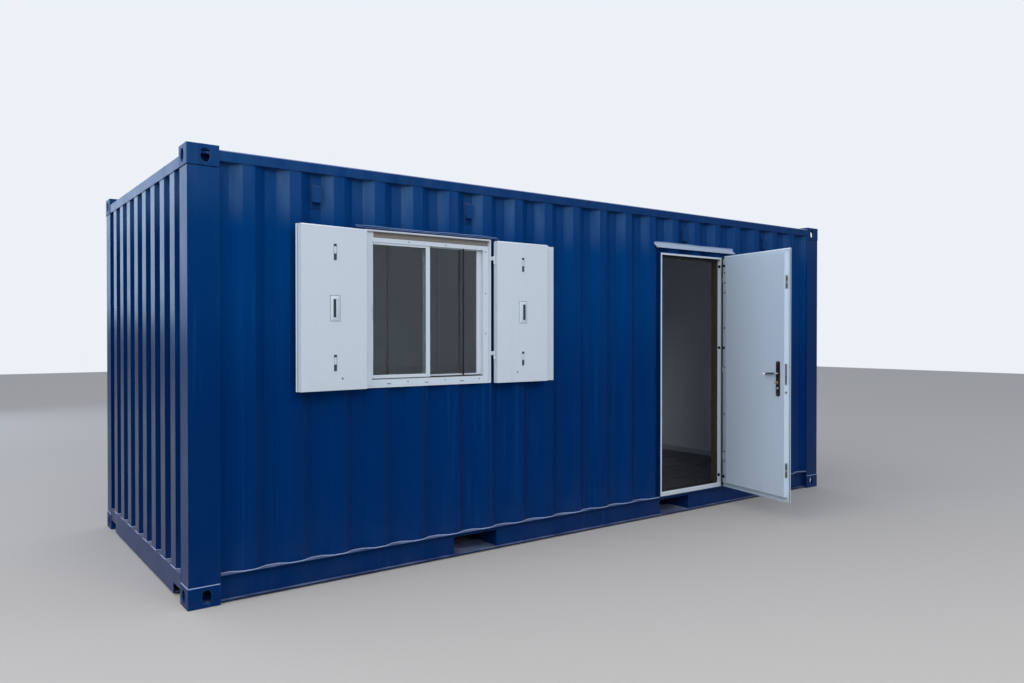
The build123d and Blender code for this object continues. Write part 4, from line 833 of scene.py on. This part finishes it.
EDGE_Y = -1.2068
EDGE_OPENINGS = ((0.375, 0.493), (1.896, 2.004))
BUSH_LEVEL, PLATE_SCREWS = 1.062, (1.128, 1.288)
fittings = [screw((0.7656, EDGE_Y, level), 0.0032, "X", -1, 0.0010) for level in PLATE_SCREWS]
for low, high in EDGE_OPENINGS:
    face_plate = rounded_plate((0.7650, 0.7661), (EDGE_Y - 0.0165, EDGE_Y + 0.0105),
                               (low - 0.002, high + 0.002), "X", 0.009)
    choose("X", -1)
    stepped(0.0012, x=-0.0005)
    end_edit()
    fittings.append(face_plate)
ring = rod((0.7652, EDGE_Y, BUSH_LEVEL), 0.0112, 0.0018, "X", 24)
edit_side("X", -1)
stepped(0.0012, x=-0.0006)
bpy.ops.mesh.inset(thickness=0.0026)
pushed(x=0.0012)
end_edit()
joined(fittings + [ring])
settle("edge_lock_plates", "door", brushed, DOOR)

gaps = [bar((0.7654, 0.7661), (EDGE_Y - 0.0045, EDGE_Y + 0.0045), (1.142, 1.196), 0.0002, 1)]
for low, high in EDGE_OPENINGS:
    middle = (low + high) / 2
    for foot, head in ((low + 0.007, middle - 0.012), (middle + 0.010, high - 0.007)):
        gaps.append(bar((0.7640, 0.7646), (EDGE_Y - 0.0105, EDGE_Y + 0.0050), (foot, head),
                        0.0002, 1))
gaps.append(rod((0.7643, EDGE_Y, BUSH_LEVEL), 0.0070, 0.0006, "X", 20))
joined(gaps)
settle("edge_lock_openings", "door", shaded_steel, DOOR)


# The lock furniture: a long black plate with rounded corners on each face, slightly crowned, with
# a collar for the spindle and two screw caps. The lever is a bent round bar of polished steel, and
# the brass cylinder under it has a thumb turn inside and a keyway outside.
LEVER_X, LEVER_LEVEL = 0.831, 1.215
INNER_FACE, OUTER_FACE = -1.1893, -1.2393
covers = []
for face, side in ((INNER_FACE, 1), (OUTER_FACE, -1)):
    cover = rounded_plate((LEVER_X - 0.020, LEVER_X + 0.020), (face, face + side * 0.0072),
                          (1.029, 1.313), "Y", 0.0158)
    choose("Y", side)
    stepped(0.0022, y=side * 0.0014)
    stepped(0.0050, y=side * 0.0006)
    end_edit()
    collar = rod((LEVER_X, face + side * 0.0105, LEVER_LEVEL), 0.0135, 0.0040, "Y", 28)
    crowned("Y", side, (0.0016, 0.0012))
    covers += [cover, collar]
joined(covers)
cover_piece = settle("lock_covers", "door", black_metal_and_hole_shade, DOOR, smooth=30)
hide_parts("door_escutcheons")

COVER_SCREWS = (1.046, 1.296)
joined([screw((LEVER_X, face + side * 0.0098, level), 0.0038, "Y", side, 0.0014)
        for face, side in ((INNER_FACE, 1), (OUTER_FACE, -1)) for level in COVER_SCREWS])
settle("cover_screws", "door", brushed, DOOR)

boss = rod((LEVER_X, INNER_FACE + 0.0118, 1.095), 0.0105, 0.0060, "Y", 24)
crowned("Y", 1, (0.0014, 0.0012))
joined([boss, bar((LEVER_X - 0.0165, LEVER_X + 0.0165), (INNER_FACE + 0.013, INNER_FACE + 0.021),
                  (1.0902, 1.0998), 0.0034, 3)])
settle("snib", "door", polished, DOOR, smooth=35)


def bent_lever(face, side):
    """A round bar that leaves the leaf, turns a quarter circle and droops a little to its end."""
    bend, droop = 0.016, 0.075
    reach = face + side * (0.0555 - bend)
    rod((LEVER_X, face + side * 0.0105, LEVER_LEVEL), 0.0085, 0.0030, "Y", 20)
    edit_side("Y", side)
    pushed(y=reach - (face + side * 0.0120))
    bpy.ops.mesh.spin(steps=8, angle=pi / 2 * side, center=(LEVER_X + bend, reach, LEVER_LEVEL),
                      axis=(0.0, 0.0, -1.0))
    along, depth, height = LEVER_X + bend, reach + side * bend, LEVER_LEVEL
    for step, wide, high in ((0.033, 0.94, 1.14), (0.034, 0.92, 1.06), (0.027, 0.92, 1.00),
                             (0.009, 0.86, 0.92), (0.004, 0.70, 0.74), (0.0018, 0.45, 0.45)):
        along += step
        height -= step * droop
        pushed(x=step, z=step * -droop)
        bpy.ops.transform.resize(value=(1.0, wide, high), center_override=(along, depth, height))
    end_edit()
    return bpy.context.object


joined([bent_lever(INNER_FACE, 1), bent_lever(OUTER_FACE, -1)])
lever_piece = settle("bent_levers", "door_handle", polished, DOOR, smooth=50)
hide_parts("door_lever")

KEY_LEVEL = 1.143
LOBE_X = (LEVER_X - 0.005, LEVER_X + 0.005)
LOBE_LEVELS = (KEY_LEVEL - 0.0165, KEY_LEVEL - 0.006)
barrel = rod((LEVER_X, INNER_FACE + 0.0125, KEY_LEVEL), 0.0085, 0.0070, "Y", 28)
lobe = bar(LOBE_X, (INNER_FACE + 0.009, INNER_FACE + 0.0158), LOBE_LEVELS, 0.0022, 3)
neck = rod((LEVER_X, INNER_FACE + 0.021, KEY_LEVEL), 0.0050, 0.012, "Y", 20)
thumb_turn = bar((LEVER_X - 0.004, LEVER_X + 0.004), (INNER_FACE + 0.024, INNER_FACE + 0.042),
                 (KEY_LEVEL - 0.015, KEY_LEVEL + 0.015), 0.0036, 4)
outer_barrel = rod((LEVER_X, OUTER_FACE - 0.0125, KEY_LEVEL), 0.0085, 0.0070, "Y", 28)
crowned("Y", -1, (0.0012, 0.0008))
outer_lobe = bar(LOBE_X, (OUTER_FACE - 0.0158, OUTER_FACE - 0.009), LOBE_LEVELS, 0.0022, 3)
joined([barrel, lobe, neck, thumb_turn, outer_barrel, outer_lobe])
cylinder_piece = settle("lock_cylinder", "door", brass, DOOR, smooth=35)
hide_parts("door_lock_cylinders")

# The keyway: a black slot, painted shade.
bar((LEVER_X - 0.0008, LEVER_X + 0.0008), (OUTER_FACE - 0.0170, OUTER_FACE - 0.0164),
    (KEY_LEVEL - 0.0055, KEY_LEVEL + 0.0035), 0.0002, 1)
settle("keyway", "door", black_metal_and_hole_shade, DOOR)


# The door's hinges: steel knuckles on a pin. Each pin ends in a low domed cap on top, and the
# straps are fixed to the leaf's sheet with small screws.
def domed(place, radius):
    """A low dome on a pin's upper end."""
    piece = rod(place, radius, 0.0016, "Z", 20)
    crowned("Z", 1, (radius * 0.18, 0.0012), (radius * 0.25, 0.0008), (radius * 0.30, 0.0003))
    return piece


HINGE_STEPS = (0.0, 0.770, 1.570)
SCREW_STEPS = (0.0, 0.017)
repeated(domed((*DOOR[0], 0.4708), 0.0088), [(0.0, 0.0, step) for step in HINGE_STEPS[1:]])
settle("hinge_pin_caps", "cabin", frame_white)
repeated(screw((1.499, -1.2438, 0.383), 0.0036, "Y", -1, 0.0010),
         [(x, 0.0, z) for z in HINGE_STEPS for x in SCREW_STEPS][1:])
settle("strap_screws", "door", brushed, DOOR)


# The drip strips: a bent white strip over the door, whose paint is darkened to blue-grey as painted
# shade, and a narrow blue angle over the window, with a thin pale line along its lower edge as a
# painted highlight. Each is bedded in sealant, which was smeared along its upper edge by hand and
# has weathered pale.
SEALANT_AND_HIGHLIGHT = ((0.10, 0.17, 0.36), (0.17, 0.26, 0.47), (0.08, 0.15, 0.32), (0.24, 0.34, 0.52),
           (0.12, 0.13, 0.15))
sealant = paint("weathered_sealant_and_highlight", SEALANT_AND_HIGHLIGHT, rough=0.45, specular=0.35, wave=0.0008, flow=0.8,
                dirt=0.4, chip=0.3)
# The door strip's white, darkened to blue-grey: painted shade.
STRIP_SHADED = ((0.30, 0.36, 0.49), (0.40, 0.47, 0.59), (0.24, 0.28, 0.37), (0.56, 0.62, 0.72),
         (0.30, 0.30, 0.31))
strip_paint_shaded = paint("strip_paint_shaded", STRIP_SHADED, rough=0.42, specular=0.3, peel=0.00015, wave=0.0010,
                    flow=0.9, streak=0.8, ledge=0.2, radius=0.0015)
finish(strip_paint_shaded, "door_drip_strip")


def smear(ends, y, z, radius, lift, step=0.045):
    """A hand-run line of sealant whose height wanders."""
    low, high = ends
    count = int((high - low) / step)
    points = []
    for number in range(count + 1):
        x = low + (high - low) * number / count
        wander = sin(x * 9.0) * 0.6 + sin(x * 23.0 + 1.0) * 0.4
        points.append((x, y, z + lift * wander))
    return bead(points, radius, "X")


WINDOW_STRIP = (-2.018, -0.934)
joined([smear((0.678, 1.687), y=-1.2120, z=2.3020, radius=0.0032, lift=0.0022),
        smear(WINDOW_STRIP, y=-1.2122, z=2.2150, radius=0.0034, lift=0.0030)])
settle("strip_sealant", "cabin", sealant, smooth=60)
# A thin pale line along the window strip's lower edge: a painted highlight.
smear(WINDOW_STRIP, y=-1.2322, z=2.2036, radius=0.0016, lift=0.0006, step=0.09)
settle("window_strip_edge_highlight", "cabin", sealant, smooth=60)
SCREW_PITCH = 0.2125
repeated(screw((0.760, -1.2125, 2.2925), 0.0042, "Y", -1, 0.0014),
         [(SCREW_PITCH * number, 0.0, 0.0) for number in range(1, 5)])
settle("strip_screws", "cabin", strip_paint_shaded)


# The window: white frame and sashes, each pane held by a black gasket. Fixing screws go through
# the head, sill and right stile, and the sliding sash has a low finger grip on its outer stile.
GASKET_WIDTH, GASKET_THICK = 0.0055, 0.0036


def gasket(x, z, y):
    """A flat rubber ring inside the edge of a pane, on one of its faces."""
    bpy.ops.object.select_all(action="DESELECT")
    centre = ((x[0] + x[1]) / 2, y, (z[0] + z[1]) / 2)
    bpy.ops.mesh.primitive_plane_add(size=1.0, location=centre, rotation=(pi / 2, 0.0, 0.0),
                                     scale=(x[1] - x[0], z[1] - z[0], 1.0))
    bpy.ops.object.transform_apply(location=False, rotation=True, scale=True)
    start_edit()
    bpy.ops.mesh.inset(thickness=GASKET_WIDTH)
    bpy.ops.mesh.delete(type="FACE")
    bpy.ops.mesh.select_all(action="SELECT")
    pushed(y=-GASKET_THICK)
    end_edit()
    return bpy.context.object


SLIDING_PANE = ((-1.8903, -1.4997), (1.2687, 2.1063))
FIXED_PANE = ((-1.4703, -1.0747), (1.2597, 2.1153))
joined([gasket(*pane, y) for pane, faces in ((SLIDING_PANE, (-1.1889, -1.1795)),
                                             (FIXED_PANE, (-1.1629, -1.1535))) for y in faces])
settle("glazing_gaskets", "cabin", rubber)

FIRST_FIXING = (-1.633, 2.135)
FIXINGS = ((-1.348, 2.135), (-1.641, 1.222), (-1.356, 1.222), (-1.078, 1.222), (-1.021, 2.109),
           (-1.021, 1.817), (-1.021, 1.536))
repeated(screw((FIRST_FIXING[0], -1.2034, FIRST_FIXING[1]), 0.0042, "Y", -1, 0.0016),
         [(x - FIRST_FIXING[0], 0.0, z - FIRST_FIXING[1]) for x, z in FIXINGS])
settle("window_fixing_screws", "cabin", black_metal_and_hole_shade)

TRACK_X = (-1.900, -1.044)
DRAINS, DRAIN_HALF = (-1.78, -1.50, -1.22), 0.014
track = [bar(TRACK_X, (-1.2005, -1.1985), (1.2412, 1.2470), 0.0006, 1),
         bar(TRACK_X, (-1.1745, -1.1720), (1.2412, 1.2500), 0.0006, 1)]
for x in DRAINS:
    track.append(bar((x - DRAIN_HALF, x + DRAIN_HALF), (-1.2036, -1.2026), (1.2090, 1.2140),
                     0.0010))
joined(track)
settle("window_track_and_drains", "cabin", dark_matt_and_painted_shade)
bar((-1.8985, -1.8925), (-1.2005, -1.1968), (1.62, 1.74), 0.0014)
crowned("Y", -1, (0.0008, -0.0008))
settle("sash_finger_grip", "cabin", frame_white)


# The shutters: box leaves with a rubber seal where the body meets the wider outer plate. Each has
# a proud pull with sloping sides, two flush slide bolts with dark openings, and a small plug. The
# dark outline round each pull and the dark in the pull's and bolts' openings are painted shade, and
# a bright fold along each top edge is a painted highlight.
LEFT = ((-1.963, -1.2535), -174.0)
RIGHT = ((-0.981, -1.2535), 180.0)
PULL_LEVEL = 1.688
SLIDE_BOLTS = (2.028, 1.357)
PLUG_LEVEL, PLUG_OFFSET = 1.261, 0.050
pale_seal = dull_finish("pale_seal", (0.25, 0.32, 0.41), 0.5, (0.32, 0.37, 0.44))
# Dark slate blue: painted shade in the pulls' openings and outlines and the slide bolts' openings.
recess_shade = dull_finish("painted_recess_shade", (0.028, 0.042, 0.062), 0.5, (0.06, 0.075, 0.095))


def shutter_pull(centre, hinge):
    """The bezel with its sloping sides and deep opening, and the grip bar on the hinge side."""
    bezel = bar((centre - 0.0328, centre + 0.0328), (-1.2485, -1.2308), (1.6107, 1.7653))
    edit_side("Y", 1)
    pushed(y=0.0078)
    bpy.ops.transform.resize(value=(0.56, 1.0, 0.73), center_override=(centre, -1.223, PULL_LEVEL))
    bpy.ops.mesh.inset(thickness=0.0014)
    pushed(y=-0.0200)
    end_edit()
    return bezel, bar((centre + hinge * 0.0040, centre + hinge * 0.0172), (-1.2285, -1.2233),
                      (1.6335, 1.7425), 0.0018, 3)


def slide_bolt(centre, level):
    """A narrow plate with a long opening, and the sliding piece in the middle of it."""
    plate = bar((centre - 0.0150, centre + 0.0150), (-1.2312, -1.2290),
                (level - 0.062, level + 0.062), 0.0006, 1)
    edit_side("Y", 1)
    bpy.ops.mesh.inset(thickness=0.0036)
    bpy.ops.transform.resize(value=(1.0, 1.0, 0.86), center_override=(centre, -1.2288, level))
    pushed(y=-0.0017)
    end_edit()
    slider = bar((centre - 0.0082, centre + 0.0082), (-1.2312, -1.2268),
                 (level - 0.010, level + 0.034), 0.0022, 3)
    return plate, slider


def in_opening(centre, hinge):
    """The test for the faces of the opening beside the grip bar, which take painted shade."""
    def test(place, normal):
        beside = abs(place.x - centre) < 0.0180 and abs(place.z - PULL_LEVEL) < 0.0555
        behind_grip = hinge * (place.x - centre) > 0.0036 and place.y > -1.2286
        return beside and place.y < -1.2240 and not behind_grip
    return test


for label, body, centre, hinge, swing, left_edge, right_edge in (
        ("left", "left_shutter", -1.7295, -1, LEFT, -1.9525, -1.5055),
        ("right", "right_shutter", -1.2155, 1, RIGHT, -1.4400, -0.9915)):
    bezel, grip_bar = shutter_pull(centre, hinge)
    # A dark plate just larger than the bezel: a painted shadow outline.
    bar((centre - 0.0345, centre + 0.0345), (-1.2313, -1.2305), (1.6092, 1.7668), 0.0003, 1)
    settle(label + "_pull_shadow_outline", body, recess_shade, swing)
    joined([bezel, grip_bar])
    piece = settle(label + "_pull", body, shutter_white, swing, smooth=30,
                   second=(recess_shade, in_opening(centre, hinge)))
    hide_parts(f"shutter_{label}_pull")

    joined([part for level in SLIDE_BOLTS for part in slide_bolt(centre, level)])
    settle(label + "_slide_bolts", body, shutter_white, swing, smooth=35,
           second=(recess_shade, lambda place, normal: place.y < -1.2299 and normal.y > SAME_WAY))

    rod((centre + hinge * PLUG_OFFSET, -1.2302, PLUG_LEVEL), 0.0055, 0.0016, "Y", 20)
    crowned("Y", 1, (0.0016, 0.0007))
    settle(label + "_plug", body, dark_matt_and_painted_shade, swing)

    free = right_edge if hinge < 0 else left_edge
    bar((free - hinge * 0.0010, free - hinge * 0.0050), (-1.2731, -1.2700), (1.194, 2.180), 0.0012)
    settle(label + "_edge_seal", body, pale_seal, swing)
    # A bright fold along the top edge: a painted highlight.
    bar((left_edge + 0.0010, right_edge - 0.0010), (-1.2320, -1.2303), (2.1776, 2.1838), 0.0006)
    settle(label + "_top_fold", body, fold_highlight, swing)

KNUCKLES, KNUCKLE_HALF = (1.384, 2.049), 0.0285
joined([domed((*swing[0], level + KNUCKLE_HALF), 0.0068)
        for swing in (LEFT, RIGHT) for level in KNUCKLES])
settle("shutter_pin_caps", "cabin", frame_white)


# The ventilators: a pressed hood on a flat base, held by four screws, with a louvred grille under
# the hood that keeps insects out.
VENTILATOR_TROUGHS = (0, 4, 12, 16)
SLAT_COUNT, LOWEST_SLAT, SLAT_PITCH, SLAT_HALF = 3, 2.3010, 0.0090, 0.024
BASE_SCREWS = [(x, level) for x in (-0.028, 0.028) for level in (2.3005, 2.4725)]
grille = []
heads = []
for trough in VENTILATOR_TROUGHS:
    middle = SIDE_FOLDS[0] + trough * SIDE_FOLDS[1]
    for number in range(SLAT_COUNT):
        z = LOWEST_SLAT + number * SLAT_PITCH
        grille.append(bar((middle - SLAT_HALF, middle + SLAT_HALF), (-1.1835, -1.1765),
                          (z, z + 0.0030), 0.0009, 1))
    for x, level in BASE_SCREWS:
        heads.append(screw((middle + x, -1.1776, level), 0.0034, "Y", -1, 0.0014))
joined(grille)
settle("ventilator_louvres", "cabin", sheet_blue)
joined(heads)
settle("ventilator_screws", "cabin", sheet_blue)


# The glass: two sealed panes of clear glass, held in the sashes by their gaskets. The faces have a
# slight ripple, and a thin film of dust dulls them in places.
PANE_TINT = (0.76, 0.82, 0.83, 1.0)
pane, tree, shader = new_material("pane")
shader.inputs["Base Color"].default_value = PANE_TINT
shader.inputs["Transmission Weight"].default_value = 1.0
shader.inputs["IOR"].default_value = 1.5
film = clouds(tree, scale=6.0, detail=6.0, low=0.4, high=0.8)
tree.links.new(ramp(tree, film, last=0.06), shader.inputs["Roughness"])
ripple = put(tree, "Bump", {"Height": clouds(tree, scale=3.0, detail=1.0), "Strength": 1.0,
                            "Distance": 0.0006})
tree.links.new(ripple.outputs[0], shader.inputs["Normal"])
finish(pane, "window_glass")
